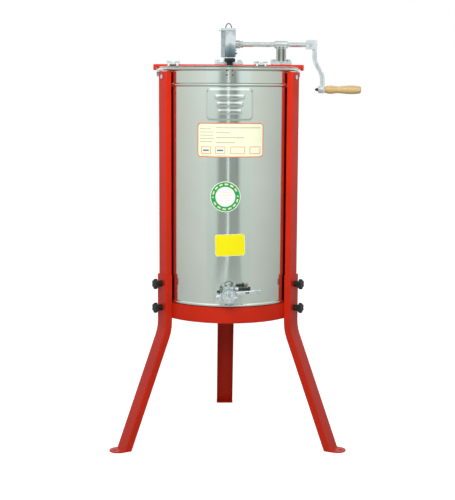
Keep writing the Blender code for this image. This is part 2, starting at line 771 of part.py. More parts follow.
def build_gearbox():
    half = BAR_WIDTH / 2
    base = block((-BASE_HALF_LENGTH, -half, base_bottom), (BASE_HALF_LENGTH, half, base_top))
    neck = rod(BASE_NECK_RADIUS, base_top - WELD, case_bottom - FIT)
    bore = rod(SHAFT_BUSH_RADIUS + FIT, base_bottom - OVERRUN, case_bottom + OVERRUN)
    holes = [bolt_hole(x, base_bottom, base_top) for x in base_bolts.values()]
    piece("gearbox_base", base, ZINC, add=[neck], cut=[bore, *holes])
    for side, x in base_bolts.items():
        piece(f"gearbox_bolt_{side}", bolt(x, base_top, bar_bottom), ZINC)

    split = -CASE_SPLIT
    outer_low = (split, -CASE_HALF_DEPTH, case_bottom)
    outer_high = (CASE_RIGHT, CASE_HALF_DEPTH, case_top)
    inner_half = CASE_HALF_DEPTH - CASE_WALL
    cavity_low = (split - OVERRUN, -inner_half, case_bottom + CASE_WALL)
    cavity_high = (CASE_RIGHT - CASE_WALL, inner_half, case_top + OVERRUN)
    shaft_hole = rod(MAIN_RADIUS + RUN, case_bottom - OVERRUN, case_bottom + CASE_WALL + OVERRUN)
    side_hole = rod(CRANK_BUSH_RADIUS + FIT, CASE_RIGHT - CASE_WALL - OVERRUN, CASE_RIGHT + OVERRUN)
    cuts = [block(cavity_low, cavity_high), shaft_hole, along_x(side_hole, 0, crank_height)]
    piece("gearbox_case", block(outer_low, outer_high), CAST, cut=cuts)

    cover_right = split - FIT
    small_half = CASE_HALF_DEPTH - COVER_CHAMFER
    outline = [
        (cover_right, -CASE_HALF_DEPTH),
        (cover_right, CASE_HALF_DEPTH),
        (-CASE_LEFT, small_half),
        (-CASE_LEFT, -small_half),
    ]
    hollow_left = CASE_WALL - CASE_LEFT
    hollow = [
        (cover_right + OVERRUN, -inner_half),
        (cover_right + OVERRUN, inner_half),
        (cover_right, inner_half),
        (hollow_left, small_half - CASE_WALL / 2),
        (hollow_left, CASE_WALL / 2 - small_half),
        (cover_right, -inner_half),
    ]
    cover = prism(outline, case_bottom, case_top)
    inside = prism(hollow, case_bottom + CASE_WALL, case_top - CASE_WALL)
    piece("gearbox_cover", cover, CAST, cut=[inside])

    lid_bottom = case_top + FIT
    reach = CASE_HALF_DEPTH + CASE_LID_LIP
    low = (-CASE_LEFT - CASE_LID_LIP, -reach, lid_bottom)
    high = (CASE_RIGHT + CASE_LID_LIP, reach, lid_bottom + CASE_LID)
    piece("gearbox_lid", block(low, high), CAST, add=[wire_loop(lid_bottom + CASE_LID)])


def wire_loop(base):
    """A half-oval of round wire that stands on the gear case's lid."""
    rings = []
    for step in range(LOOP_STEPS + 1):
        turn = math.pi * step / LOOP_STEPS
        x, z = LOOP_HALF_WIDTH * math.cos(turn), LOOP_HEIGHT * math.sin(turn)
        normal = Vector((LOOP_HEIGHT * math.cos(turn), 0, LOOP_HALF_WIDTH * math.sin(turn))).normalized()
        ring = []
        for side in range(LOOP_SIDES):
            around = 2 * math.pi * side / LOOP_SIDES
            spot = normal * LOOP_WIRE * math.cos(around)
            ring.append((x + spot.x, LOOP_WIRE * math.sin(around), base - WELD + z + spot.z))
        rings.append(ring)
    return joined_rings(rings, caps=True)


# Bevel gears


def bevel_gear(teeth, mate_teeth, phase, backing_radius, backing):
    """A bevel gear whose cone's point is at the origin and whose back looks along +Z."""
    radius = GEAR_MODULE * teeth / 2
    distance = GEAR_MODULE * mate_teeth / 2
    cone = math.hypot(radius, distance)
    lean_r, lean_z = distance / cone, radius / cone
    addendum = GEAR_MODULE * TOOTH_ADDENDUM_SHARE
    dedendum = GEAR_MODULE * TOOTH_DEDENDUM_SHARE
    half_tooth = math.pi * GEAR_MODULE / 4 - GEAR_MODULE * TOOTH_BACKLASH_SHARE / 2
    tip_turn = (half_tooth - addendum * math.tan(TOOTH_PRESSURE)) / radius
    root_turn = (half_tooth + dedendum * math.tan(TOOTH_PRESSURE)) / radius
    tip = (radius + addendum * lean_r, distance - addendum * lean_z)
    root = (radius - dedendum * lean_r, distance + dedendum * lean_z)

    def toothed(scale):
        points = []
        for tooth in range(teeth):
            middle = phase + 2 * math.pi * tooth / teeth
            for turn, (r, z) in ((-root_turn, root), (-tip_turn, tip), (tip_turn, tip), (root_turn, root)):
                points.append((middle + turn, r * scale, z * scale))
        return points

    back = root[1] + backing
    behind = [(turn, backing_radius, back) for turn, _, _ in toothed(1)]
    polar = [toothed(1 - GEAR_FACE / cone), toothed(1), behind]
    rings = [[(r * math.cos(t), r * math.sin(t), z) for t, r, z in ring] for ring in polar]
    return joined_rings(rings, caps=True), back


def build_gears():
    at_crank = Matrix.Translation((0, 0, crank_height))
    to_left = Matrix.Rotation(-math.pi / 2, 4, "Y")
    down = Matrix.Rotation(math.pi, 4, "X")

    gear_radius = GEAR_MODULE * GEAR_TEETH / 2
    wheel, back = bevel_gear(GEAR_TEETH, PINION_TEETH, math.pi, gear_radius - GEAR_BACKING, GEAR_BACKING)
    hub = rod(GEAR_HUB_RADIUS, back - WELD, back + GEAR_HUB)
    bore = rod(CRANK_RADIUS + FIT, 0, back + GEAR_HUB + OVERRUN)
    shapes = [moved(shape, to_left, at_crank) for shape in (wheel, hub, bore)]
    pivot = (-gear_distance, 0, crank_height)
    piece("crank_gear", shapes[0], GEAR_STEEL, pivot, add=[shapes[1]], cut=[shapes[2]])

    phase = math.pi + math.pi / PINION_TEETH
    pinion, back = bevel_gear(PINION_TEETH, GEAR_TEETH, phase, PINION_HUB_RADIUS, PINION_BACKING)
    hub_end = CASE_HALF_HEIGHT
    hub = rod(PINION_HUB_RADIUS - FIT, back - WELD, hub_end)
    bore = rod(PINION_SEAT_RADIUS + FIT, 0, hub_end + OVERRUN)
    shapes = [moved(shape, down, at_crank) for shape in (pinion, hub, bore)]
    pivot = (0, 0, crank_height - pinion_distance)
    piece("shaft_pinion", shapes[0], GEAR_STEEL, pivot, add=[shapes[1]], cut=[shapes[2]])


# Crank line


def build_crank():
    crank_pivot = (0, 0, crank_height)
    shaft_start = CASE_WALL + RUN - CASE_LEFT
    shaft = rod(CRANK_RADIUS, shaft_start, hub_end - FIT)
    piece("crank_shaft", along_x(shaft, 0, crank_height), ZINC, crank_pivot)

    bore = CRANK_RADIUS + RUN
    flange_start = CASE_RIGHT + FIT
    flange_end = flange_start + CRANK_BUSH_FLANGE
    bush = turned(
        [
            (CRANK_BUSH_RADIUS, CASE_RIGHT - CASE_WALL),
            (CRANK_BUSH_RADIUS, flange_start),
            (CRANK_BUSH_FLANGE_RADIUS, flange_start),
            (CRANK_BUSH_FLANGE_RADIUS, flange_end),
            (bore, flange_end),
            (bore, CASE_RIGHT - CASE_WALL),
        ],
        closed=True,
    )
    piece("crank_bush", along_x(bush, 0, crank_height), ZINC)
    collar_start = flange_end + FIT
    collar = tube(COLLAR_RADIUS, CRANK_RADIUS + FIT, collar_start, collar_start + COLLAR_LENGTH)
    piece("shaft_collar", along_x(collar, 0, crank_height), ZINC, crank_pivot)
    build_support()
    build_arm(crank_pivot)
    build_grip()


def build_support():
    """A cast bracket: a base, a ribbed web, and a barrel whose wall the web and ribs end in."""
    low, half = base_bottom, BAR_WIDTH / 2
    left, right = support_x - SUPPORT_BASE_HALF, support_x + SUPPORT_BASE_HALF
    top = low + SUPPORT_BASE_THICK
    base = block((left, -half, low), (right, half, top))
    column_bottom = top - WELD
    bore = SUPPORT_BUSH_RADIUS + FIT
    sunk = bore + WELD
    web_top = crank_height - sunk
    web_half = SUPPORT_BARREL_HALF - WELD
    waist = web_top - (SUPPORT_BARREL_HALF - SUPPORT_COLUMN_HALF)
    outline = [
        (-SUPPORT_COLUMN_HALF, column_bottom),
        (SUPPORT_COLUMN_HALF, column_bottom),
        (SUPPORT_COLUMN_HALF, waist),
        (web_half, web_top),
        (-web_half, web_top),
        (-SUPPORT_COLUMN_HALF, waist),
    ]
    web = prism([(support_x + x, z) for x, z in outline], -SUPPORT_WEB / 2, SUPPORT_WEB / 2)
    shapes = [moved(web, TO_FRONT)]
    depth = SUPPORT_RIB_HALF_DEPTH
    lean = math.acos(depth / sunk)
    rib_outline = arc((0, crank_height), sunk, -lean, lean - math.pi, SUPPORT_SEAT_STEPS)
    rib_outline += [(-depth, column_bottom), (depth, column_bottom)]
    rib_end = SUPPORT_COLUMN_HALF - WELD
    for middle in (-rib_end + SUPPORT_RIB / 2, 0, rib_end - SUPPORT_RIB / 2):
        x = support_x + middle
        rib = prism(rib_outline, x - SUPPORT_RIB / 2, x + SUPPORT_RIB / 2)
        shapes.append(moved(rib, TO_RIGHT))
    barrel_start = support_x - SUPPORT_BARREL_HALF
    barrel_end = support_x + SUPPORT_BARREL_HALF
    barrel = tube(SUPPORT_BARREL_RADIUS, bore, barrel_start, barrel_end, WIDE_SIDES)
    shapes.append(along_x(barrel, 0, crank_height))
    cuts = [bolt_hole(x, low, top) for x in support_bolts.values()]
    piece("crank_support", base, CAST, add=shapes, cut=cuts)
    for side, x in support_bolts.items():
        piece(f"support_bolt_{side}", bolt(x, top, bar_bottom), ZINC)
    start, end = barrel_start - SUPPORT_BUSH_PROUD, barrel_end + SUPPORT_BUSH_PROUD
    bush = tube(SUPPORT_BUSH_RADIUS, CRANK_RADIUS + RUN, start, end)
    piece("support_bush", along_x(bush, 0, crank_height), BRONZE)


def arm_section(outer, height):
    """A T in X and Y: a broad strap outside and a narrow rib inside."""
    strap, rib = outer - ARM_STRAP, outer - ARM_STRAP - ARM_RIB
    wide, narrow = ARM_HALF_WIDTH, ARM_RIB_HALF_WIDTH
    corners = [(outer, -wide), (outer, wide), (strap, wide), (strap, narrow)]
    corners += [(rib, narrow), (rib, -narrow), (strap, -narrow), (strap, -wide)]
    return [(x, y, height) for x, y in corners]


def build_arm(pivot):
    top = crank_height + HUB_HALF - WELD
    bottom = grip_height - ARM_BOSS_HALF + WELD
    rings = [arm_section(arm_outer, top)]
    for step in range(ARM_CURVE_STEPS + 1):
        share = step / ARM_CURVE_STEPS
        drop = ARM_CURVE_START + (ARM_CURVE_END - ARM_CURVE_START) * share
        shift = ARM_SHIFT * share * share * (3 - 2 * share)
        rings.append(arm_section(arm_outer + shift, crank_height - drop))
    rings.append(arm_section(arm_outer + ARM_SHIFT, bottom))
    arm = joined_rings(rings, caps=True)
    low = (hub_start, -HUB_HALF, crank_height - HUB_HALF)
    high = (hub_end + WELD, HUB_HALF, crank_height + HUB_HALF)
    boss_end = arm_outer + ARM_SHIFT - WELD
    boss = rod(ARM_BOSS_HALF, boss_end - ARM_BOSS_LENGTH, boss_end, SHAFT_SIDES)
    bore = rod(CRANK_RADIUS + FIT, hub_start - OVERRUN, hub_end)
    pin_start = boss_end - ARM_BOSS_LENGTH - OVERRUN
    pin_bore = rod(SPINDLE_RADIUS + FIT, pin_start, arm_outer + ARM_SHIFT + OVERRUN)
    screw_x = (hub_start + hub_end) / 2
    screw_bore = rod(SET_SCREW_RADIUS + FIT, CRANK_RADIUS, HUB_HALF + OVERRUN, BORE_SIDES)
    piece(
        "crank_arm",
        arm,
        CAST,
        pivot,
        add=[block(low, high), along_x(boss, 0, grip_height)],
        cut=[
            along_x(bore, 0, crank_height),
            along_x(pin_bore, 0, grip_height),
            along_front(screw_bore, screw_x, crank_height),
        ],
    )
    head = HUB_HALF + FIT
    screw = turned(
        [
            (0, CRANK_RADIUS + FIT),
            (SET_SCREW_RADIUS, CRANK_RADIUS + FIT),
            (SET_SCREW_RADIUS, head),
            (SET_SCREW_HEAD_RADIUS, head),
            (SET_SCREW_HEAD_RADIUS, head + SET_SCREW_HEAD / 2),
            (SET_SCREW_RADIUS, head + SET_SCREW_HEAD),
            (0, head + SET_SCREW_HEAD),
        ]
    )
    piece("crank_set_screw", along_front(screw, screw_x, crank_height), ZINC, pivot)

    nose_end = pin_start + OVERRUN - FIT
    spindle_end = grip_start + GRIP_LENGTH * GRIP_BORE_SHARE - FIT
    spindle = turned(
        [
            (0, nose_end - SPINDLE_NOSE),
            (SPINDLE_NOSE_RADIUS, nose_end - SPINDLE_NOSE / 2),
            (SPINDLE_NOSE_RADIUS, nose_end),
            (SPINDLE_RADIUS, nose_end),
            (SPINDLE_RADIUS, spindle_end),
            (0, spindle_end),
        ]
    )
    piece("grip_spindle", along_x(spindle, 0, grip_height), DARK_STEEL, pivot)


def build_grip():
    profile = [(0, grip_start)]
    for along, across in zip(GRIP_LENGTH_SHARES, GRIP_RADIUS_SHARES):
        profile.append((GRIP_RADIUS * across, grip_start + GRIP_LENGTH * along))
    profile.append((0, grip_start + GRIP_LENGTH))
    grip = turned(profile, GRIP_SIDES)
    bore_end = grip_start + GRIP_LENGTH * GRIP_BORE_SHARE
    bore = rod(SPINDLE_RADIUS + RUN, grip_start - OVERRUN, bore_end)
    pivot = (grip_start, 0, grip_height)
    cuts = [along_x(bore, 0, grip_height)]
    piece("grip", along_x(grip, 0, grip_height), WOOD, pivot, cut=cuts)


# Main shaft and comb basket


def build_basket():
    pivot = (0, 0, basket_bottom)
    foot = floor_seat + FIT + BEARING_SOLE + FIT
    seat = case_bottom - FIT
    lean = math.atan2(PINION_TEETH, GEAR_TEETH)
    cone = math.hypot(gear_distance, pinion_distance)
    seat_end = crank_height - (cone - GEAR_FACE) * math.cos(lean)
    shaft = turned(
        [
            (0, foot),
            (MAIN_FOOT_RADIUS, foot),
            (MAIN_FOOT_RADIUS, bearing_top + FIT),
            (MAIN_RADIUS, bearing_top + FIT),
            (MAIN_RADIUS, seat),
            (PINION_SEAT_RADIUS, seat),
            (PINION_SEAT_RADIUS, seat_end),
            (0, seat_end),
        ]
    )
    piece("main_shaft", shaft, STAINLESS, pivot)
    bush = tube(SHAFT_BUSH_RADIUS, MAIN_RADIUS + RUN, bar_bottom, seat - RUN)
    piece("shaft_bush", bush, BRONZE)

    bar, half_x, half_y = BASKET_BAR, BASKET_HALF_LENGTH, BASKET_HALF_WIDTH
    rail = half_y - bar - COMB_SLOT
    xs = [-half_x, bar - half_x, -bar / 2, bar / 2, half_x - bar, half_x]
    ys = [-half_y, bar - half_y, -rail, bar - rail, rail - bar, rail, half_y - bar, half_y]

    def top_open(i, j):
        return i in (1, 3) and j in (1, 3, 5) or i == 2 and j in (1, 5)

    rest_lines = bars(-half_x, half_x, COMB_RESTS + 2, bar)
    middle = len(rest_lines) // 2 - 1

    def bottom_open(i, j):
        return i % 2 == 1 and j % 2 == 1 or i != middle and i % 4 == 2 and j == 3

    top_frame = lattice(xs, ys, top_open, basket_top - BASKET_TOP_BAR, basket_top)
    bottom_frame = lattice(rest_lines, ys, bottom_open, basket_bottom, basket_bottom + BASKET_BOTTOM_BAR)
    for name, frame, low, high in (
        ("basket_top_frame", top_frame, basket_top - BASKET_HUB, basket_top + WELD),
        ("basket_bottom_frame", bottom_frame, basket_bottom - WELD, basket_bottom + BASKET_HUB),
    ):
        hub = rod(BASKET_HUB_RADIUS, low, high)
        bore = rod(MAIN_RADIUS + FIT, low - OVERRUN, high + OVERRUN)
        piece(name, frame, STAINLESS, pivot, add=[hub], cut=[bore])

    low = basket_bottom + BASKET_BOTTOM_BAR + FIT
    high = basket_top - BASKET_TOP_BAR - FIT
    for side, sign in (("front", -1), ("rear", 1)):
        far, near = sign * half_y, sign * (half_y - bar)
        screen = grille(SCREEN_COLUMNS, SCREEN_ROWS, low, high, far, near)
        posts = []
        for edge in (-1, 1):
            outer_x, inner_x = edge * half_x, edge * (half_x - bar)
            post_end = sign * (half_y - SCREEN_POST)
            posts.append(spanned_block((outer_x, near, low), (inner_x, post_end, high)))
        piece(f"basket_screen_{side}", screen, STAINLESS, pivot, add=[shifted(p, -sign) for p in posts])
        guide = grille(GUIDE_COLUMNS, GUIDE_ROWS, low, high, sign * rail, sign * (rail - bar))
        piece(f"basket_guide_{side}", guide, STAINLESS, pivot)


def shifted(bm, sign):
    """Sinks a post a little into the screen that it is welded to."""
    return moved(bm, Matrix.Translation((0, -sign * WELD, 0)))


def spanned_block(first, second):
    low = [min(a, b) for a, b in zip(first, second)]
    high = [max(a, b) for a, b in zip(first, second)]
    return block(low, high)


def grille(columns, rows, low, high, far, near):
    xs = bars(-BASKET_HALF_LENGTH, BASKET_HALF_LENGTH, columns, BASKET_BAR)
    zs = bars(low, high, rows, BASKET_BAR)
    flat = lattice(xs, zs, lambda i, j: i % 2 == 1 and j % 2 == 1, min(-far, -near), max(-far, -near))
    return moved(flat, TO_FRONT)


# Lids and hinges


def half_moon(radius, chord, side):
    """Points (x, y) of a disc's cap beyond a chord, in front of or behind the bar."""
    start = math.asin(chord / radius)
    points = arc((0, 0), radius, start, math.pi - start, LID_ARC_STEPS)
    return [(x, side * y) for x, y in points]


def build_lid(name, side):
    """A sheet lid whose middle is pressed down inside the rim."""
    chord = lid_edge
    dish_chord = lid_edge + LID_DISH_INSET
    outlines = [
        (half_moon(lid_radius, chord, side), 0),
        (half_moon(dish_radius, dish_chord, side), 0),
        (half_moon(dish_radius - LID_DISH_SLOPE, dish_chord + LID_DISH_SLOPE, side), LID_DISH_DEPTH),
    ]
    upper = [[(x, y, lid_top - drop) for x, y in points] for points, drop in outlines]
    lower = [[(x, y, z - LID_THICK) for x, y, z in ring] for ring in upper]
    sheet = joined_rings(upper[::-1] + lower, caps=True)
    pivot = (0, side * hinge_y, hinge_z)
    welded = []
    bores = []
    for x in hinge_xs.values():
        start, end = x - HINGE_HALF_LENGTH, x + HINGE_HALF_LENGTH
        leaf_start = hinge_y + HINGE_KNUCKLE_RADIUS - HINGE_TONGUE / 2
        leaf = spanned_block(
            (start, side * leaf_start, lid_top - WELD),
            (end, side * (leaf_start + HINGE_LID_LEAF), lid_top + HINGE_LEAF),
        )
        tongue_start = hinge_y + HINGE_KNUCKLE_RADIUS - HINGE_TONGUE + FIT
        tongue = spanned_block(
            (x - HINGE_KNUCKLE_HALF, side * tongue_start, lid_top + HINGE_LEAF - WELD),
            (x + HINGE_KNUCKLE_HALF, side * (tongue_start + HINGE_TONGUE), hinge_z),
        )
        half = HINGE_KNUCKLE_HALF + WELD
        barrel = rod(HINGE_KNUCKLE_RADIUS, x - half, x + half, KNUCKLE_SIDES)
        welded += [leaf, tongue, along_x(barrel, side * hinge_y, hinge_z)]
        bore = rod(HINGE_PIN_RADIUS + FIT, x - half - OVERRUN, x + half + OVERRUN, KNUCKLE_SIDES)
        bores.append(along_x(bore, side * hinge_y, hinge_z))
    dish_top = lid_top - LID_DISH_DEPTH
    knob_hole = rod(STUD_RADIUS + RUN, dish_top - LID_THICK - OVERRUN, dish_top + OVERRUN, BORE_SIDES)
    bores.append(moved(knob_hole, Matrix.Translation((0, side * lid_knob_y, 0))))
    piece(f"lid_{name}", sheet, STAINLESS, pivot, add=welded, cut=bores)

    knob = moved(star_knob(LID_STUD), Matrix.Translation((0, side * lid_knob_y, dish_top + FIT)))
    piece(f"lid_knob_{name}", knob, BLACK, pivot)
    for where, x in hinge_xs.items():
        build_bar_leaf(f"hinge_{name}_{where}", x, side)


def build_bar_leaf(name, x, side):
    """The half of a hinge that stays on the bar: leaf, two knuckles and the pin between them."""
    end = HINGE_HALF_LENGTH
    inner = HINGE_KNUCKLE_HALF + WELD + FIT
    radius, pin = HINGE_KNUCKLE_RADIUS, HINGE_PIN_RADIUS
    knuckles = turned(
        [
            (0, x - end),
            (radius, x - end),
            (radius, x - inner),
            (pin, x - inner),
            (pin, x + inner),
            (radius, x + inner),
            (radius, x + end),
            (0, x + end),
        ],
        KNUCKLE_SIDES,
    )
    leaf_front = BAR_WIDTH / 2 - HINGE_LEAF
    leaf = spanned_block(
        (x - end, side * (leaf_front - HINGE_BAR_LEAF), bar_top + FIT),
        (x + end, side * leaf_front, bar_top + FIT + HINGE_LEAF),
    )
    tongues = []
    for start, stop in ((x - end, x - inner), (x + inner, x + end)):
        tongues.append(
            spanned_block(
                (start + WELD, side * (leaf_front - HINGE_TONGUE), bar_top + FIT + WELD),
                (stop - WELD, side * hinge_y, hinge_z - radius / 2),
            )
        )
    barrel = along_x(knuckles, side * hinge_y, hinge_z)
    piece(name, leaf, ZINC, add=[*tongues, barrel])


# Honey gate


def gate_rings():
    """Rings (distance in front of the axis, radius, drop) of the outlet, round its bore."""
    wall = drum_radius
    flange = wall + FIT + GASKET_THICK + FIT
    pipe = flange + GATE_FLANGE
    ring = gate_front - GATE_RING
    return [
        (wall - GATE_INSIDE, GATE_THREAD_RADIUS, 0),
        (flange, GATE_THREAD_RADIUS, 0),
        (flange, GATE_FLANGE_RADIUS, 0),
        (pipe, GATE_FLANGE_RADIUS, 0),
        (pipe, GATE_PIPE_RADIUS, 0),
        (ring, GATE_PIPE_RADIUS, GATE_DROP),
        (ring, GATE_RING_RADIUS, GATE_DROP),
        (gate_front, GATE_RING_RADIUS, GATE_DROP),
        (gate_front, GATE_BORE_RADIUS, GATE_DROP),
        (ring, GATE_BORE_RADIUS, GATE_DROP),
        (pipe, GATE_BORE_RADIUS, 0),
        (wall - GATE_INSIDE, GATE_BORE_RADIUS, 0),
    ]


def build_gate():
    rings = []
    for reach, radius, drop in gate_rings():
        turns = [2 * math.pi * i / WIDE_SIDES for i in range(WIDE_SIDES)]
        centre = OUTLET_HEIGHT - drop
        rings.append([(radius * math.cos(t), -reach, centre + radius * math.sin(t)) for t in turns])
    outlet = joined_rings(rings, closed=True)
    ring_back = gate_front - GATE_RING
    lug = lug_shape(ring_back + FIT, gate_front - FIT, -GATE_RING_RADIUS / 2 - GATE_BORE_RADIUS / 2)
    thumb_y = gate_front - THUMB_SETBACK
    thumb_z = gate_height + THUMB_RISE
    boss = rod(THUMB_BOSS_RADIUS, GATE_BORE_RADIUS, THUMB_BOSS_END)
    boss = along_x(boss, -thumb_y, thumb_z)
    thread = rod(THUMB_SCREW_RADIUS + RUN, GATE_BORE_RADIUS + WELD, THUMB_BOSS_END + OVERRUN)
    pivot_hole = rod(PIVOT_RADIUS + FIT, ring_back - OVERRUN, gate_front + OVERRUN, BORE_SIDES)
    piece(
        "gate_body",
        outlet,
        ZINC,
        add=[lug, boss],
        cut=[along_x(thread, -thumb_y, thumb_z), along_front(pivot_hole, -PIVOT_X, pivot_height)],
    )

    gasket_back = drum_radius + FIT
    gasket_inner = GATE_THREAD_RADIUS + FIT
    gasket = tube(GASKET_RADIUS, gasket_inner, gasket_back, gasket_back + GASKET_THICK, WIDE_SIDES)
    piece("gate_gasket", along_front(gasket, 0, OUTLET_HEIGHT), RUBBER)
    nut_front = drum_radius - DRUM_WALL - GATE_NUT_SETBACK
    nut_back = nut_front - GATE_NUT
    levels = [(nut_back, GATE_NUT_RADIUS, True), (nut_front, GATE_NUT_RADIUS, True)]
    upright = Matrix.Rotation(math.pi / 6, 4, "Z")
    nut = along_front(moved(hex_levels(levels), upright), 0, OUTLET_HEIGHT)
    bore = rod(GATE_THREAD_RADIUS + FIT, nut_back - OVERRUN, nut_front + OVERRUN, WIDE_SIDES)
    piece("gate_nut", nut, ZINC, cut=[along_front(bore, 0, OUTLET_HEIGHT)])
    build_shutter()
    build_thumb_screw(thumb_y, thumb_z)


def lug_shape(back, front, reach):
    """A rounded ear that runs left to the pivot from a point beside the outlet."""
    height = -PIVOT_DROP
    half = PIVOT_LUG_RADIUS
    quarter = math.pi / 2
    outline = arc((-PIVOT_X, height), half, quarter, 3 * quarter, PIVOT_LUG_STEPS)
    outline += [(reach, height - half), (reach, height + half)]
    return along_front(prism(outline, back, front), 0, gate_height)


def build_shutter():
    pivot = (-PIVOT_X, -shutter_back, pivot_height)
    edge = SHUTTER_RADIUS - SHUTTER_EDGE
    disc = turned(
        [
            (0, shutter_back),
            (SHUTTER_RADIUS, shutter_back),
            (SHUTTER_RADIUS, shutter_front - SHUTTER_EDGE),
            (edge, shutter_front),
            (0, shutter_front),
        ],
        WIDE_SIDES,
    )
    lug = lug_shape(shutter_back + WELD, shutter_front - FIT, -SHUTTER_RADIUS / 2)
    lever_back = shutter_back + WELD
    root_x = SHUTTER_RADIUS / 2
    tip_x = LEVER_REACH - LEVER_TIP_HALF / 2
    outline = [
        (root_x, LEVER_RISE - LEVER_ROOT_HALF),
        (tip_x, LEVER_RISE - LEVER_TIP_HALF),
        (LEVER_REACH, LEVER_RISE - LEVER_TIP_HALF / 2),
        (LEVER_REACH, LEVER_RISE + LEVER_TIP_HALF / 2),
        (tip_x, LEVER_RISE + LEVER_TIP_HALF),
        (root_x, LEVER_RISE + LEVER_ROOT_HALF),
    ]
    lever = prism(outline, lever_back, lever_back + LEVER_THICK)
    boss_outline = []
    middle = SHUTTER_BOSS_HALF - SHUTTER_BOSS_CORNER
    for number, (x, y) in enumerate(((1, 1), (-1, 1), (-1, -1), (1, -1))):
        start = number * math.pi / 2
        end = start + math.pi / 2
        boss_outline += arc((x * middle, y * middle), SHUTTER_BOSS_CORNER, start, end, SHUTTER_BOSS_STEPS)
    boss = prism(boss_outline, shutter_front - WELD, shutter_front + SHUTTER_BOSS)
    hole = rod(PIVOT_RADIUS + FIT, shutter_back - OVERRUN, shutter_front + OVERRUN, BORE_SIDES)
    piece(
        "gate_shutter",
        along_front(disc, 0, gate_height),
        ZINC,
        pivot,
        add=[lug, along_front(lever, 0, gate_height), along_front(boss, 0, gate_height)],
        cut=[along_front(hole, -PIVOT_X, pivot_height)],
    )
    nut_front = gate_front - GATE_RING - FIT
    head_back = shutter_front + FIT
    levels = [
        (nut_front - PIVOT_HEAD, PIVOT_HEAD_RADIUS, True),
        (nut_front, PIVOT_HEAD_RADIUS, True),
        (nut_front, PIVOT_RADIUS, False),
        (head_back, PIVOT_RADIUS, False),
        (head_back, PIVOT_HEAD_RADIUS, True),
        (head_back + PIVOT_HEAD, PIVOT_HEAD_RADIUS, True),
    ]
    piece("gate_pivot_bolt", along_front(hex_levels(levels), -PIVOT_X, pivot_height), ZINC)


def build_thumb_screw(y, z):
    """A clamp screw with a turned shank and a broad head, along X."""
    seat = THUMB_BOSS_END + FIT
    head_start = THUMB_END - THUMB_HEAD
    edge = THUMB_HEAD / 4
    screw = turned(
        [
            (0, GATE_BORE_RADIUS + WELD + FIT),
            (THUMB_SCREW_RADIUS, GATE_BORE_RADIUS + WELD + FIT),
            (THUMB_SCREW_RADIUS, seat),
            (THUMB_SHANK_RADIUS, seat),
            (THUMB_SHANK_RADIUS, head_start),
            (THUMB_HEAD_RADIUS - edge, head_start),
            (THUMB_HEAD_RADIUS, head_start + edge),
            (THUMB_HEAD_RADIUS, THUMB_END - edge),
            (THUMB_HEAD_RADIUS - edge, THUMB_END),
            (0, THUMB_END),
        ]
    )
    piece("gate_thumb_screw", along_x(screw, -y, z), DARK_STEEL, (seat, -y, z))


build_drum()
build_stand()
build_crossbar()
build_gearbox()
build_gears()
build_crank()
build_basket()
build_lid("front", -1)
build_lid("rear", 1)
build_gate()
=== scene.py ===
import json
import math

import bmesh
import bpy
from mathutils import Matrix, Vector

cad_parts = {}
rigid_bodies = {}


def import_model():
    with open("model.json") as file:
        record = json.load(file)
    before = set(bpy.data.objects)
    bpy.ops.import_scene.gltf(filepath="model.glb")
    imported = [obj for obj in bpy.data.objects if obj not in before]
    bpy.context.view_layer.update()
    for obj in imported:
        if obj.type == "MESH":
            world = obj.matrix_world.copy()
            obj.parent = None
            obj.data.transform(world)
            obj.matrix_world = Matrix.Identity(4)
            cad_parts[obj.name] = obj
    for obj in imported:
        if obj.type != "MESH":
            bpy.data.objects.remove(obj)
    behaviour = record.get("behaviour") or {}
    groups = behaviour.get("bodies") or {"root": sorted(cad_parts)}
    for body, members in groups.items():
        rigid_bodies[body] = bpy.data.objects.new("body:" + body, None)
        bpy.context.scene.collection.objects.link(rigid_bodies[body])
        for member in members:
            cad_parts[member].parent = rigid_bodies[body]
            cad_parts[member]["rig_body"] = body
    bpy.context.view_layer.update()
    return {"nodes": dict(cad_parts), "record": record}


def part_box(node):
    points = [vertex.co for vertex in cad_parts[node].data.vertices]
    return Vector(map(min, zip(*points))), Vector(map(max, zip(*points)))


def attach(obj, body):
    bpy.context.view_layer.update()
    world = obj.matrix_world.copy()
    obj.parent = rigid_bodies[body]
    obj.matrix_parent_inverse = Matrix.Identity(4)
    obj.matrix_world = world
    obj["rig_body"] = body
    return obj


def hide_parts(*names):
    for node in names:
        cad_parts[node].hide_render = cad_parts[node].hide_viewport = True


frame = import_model()
print("frame loaded")

# Places that the frame gives, in metres
drumLow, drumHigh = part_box("drum_shell")
axis = Vector(((drumLow.x + drumHigh.x) / 2, (drumLow.y + drumHigh.y) / 2, 0))
toAxis = Matrix.Translation(axis)
hoopLow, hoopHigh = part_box("support_hoop")
lidTop = drumHigh.z + 0.0015
quarter = math.pi / 2
legTurns = {"left": math.radians(210), "right": math.radians(330), "rear": math.radians(90)}


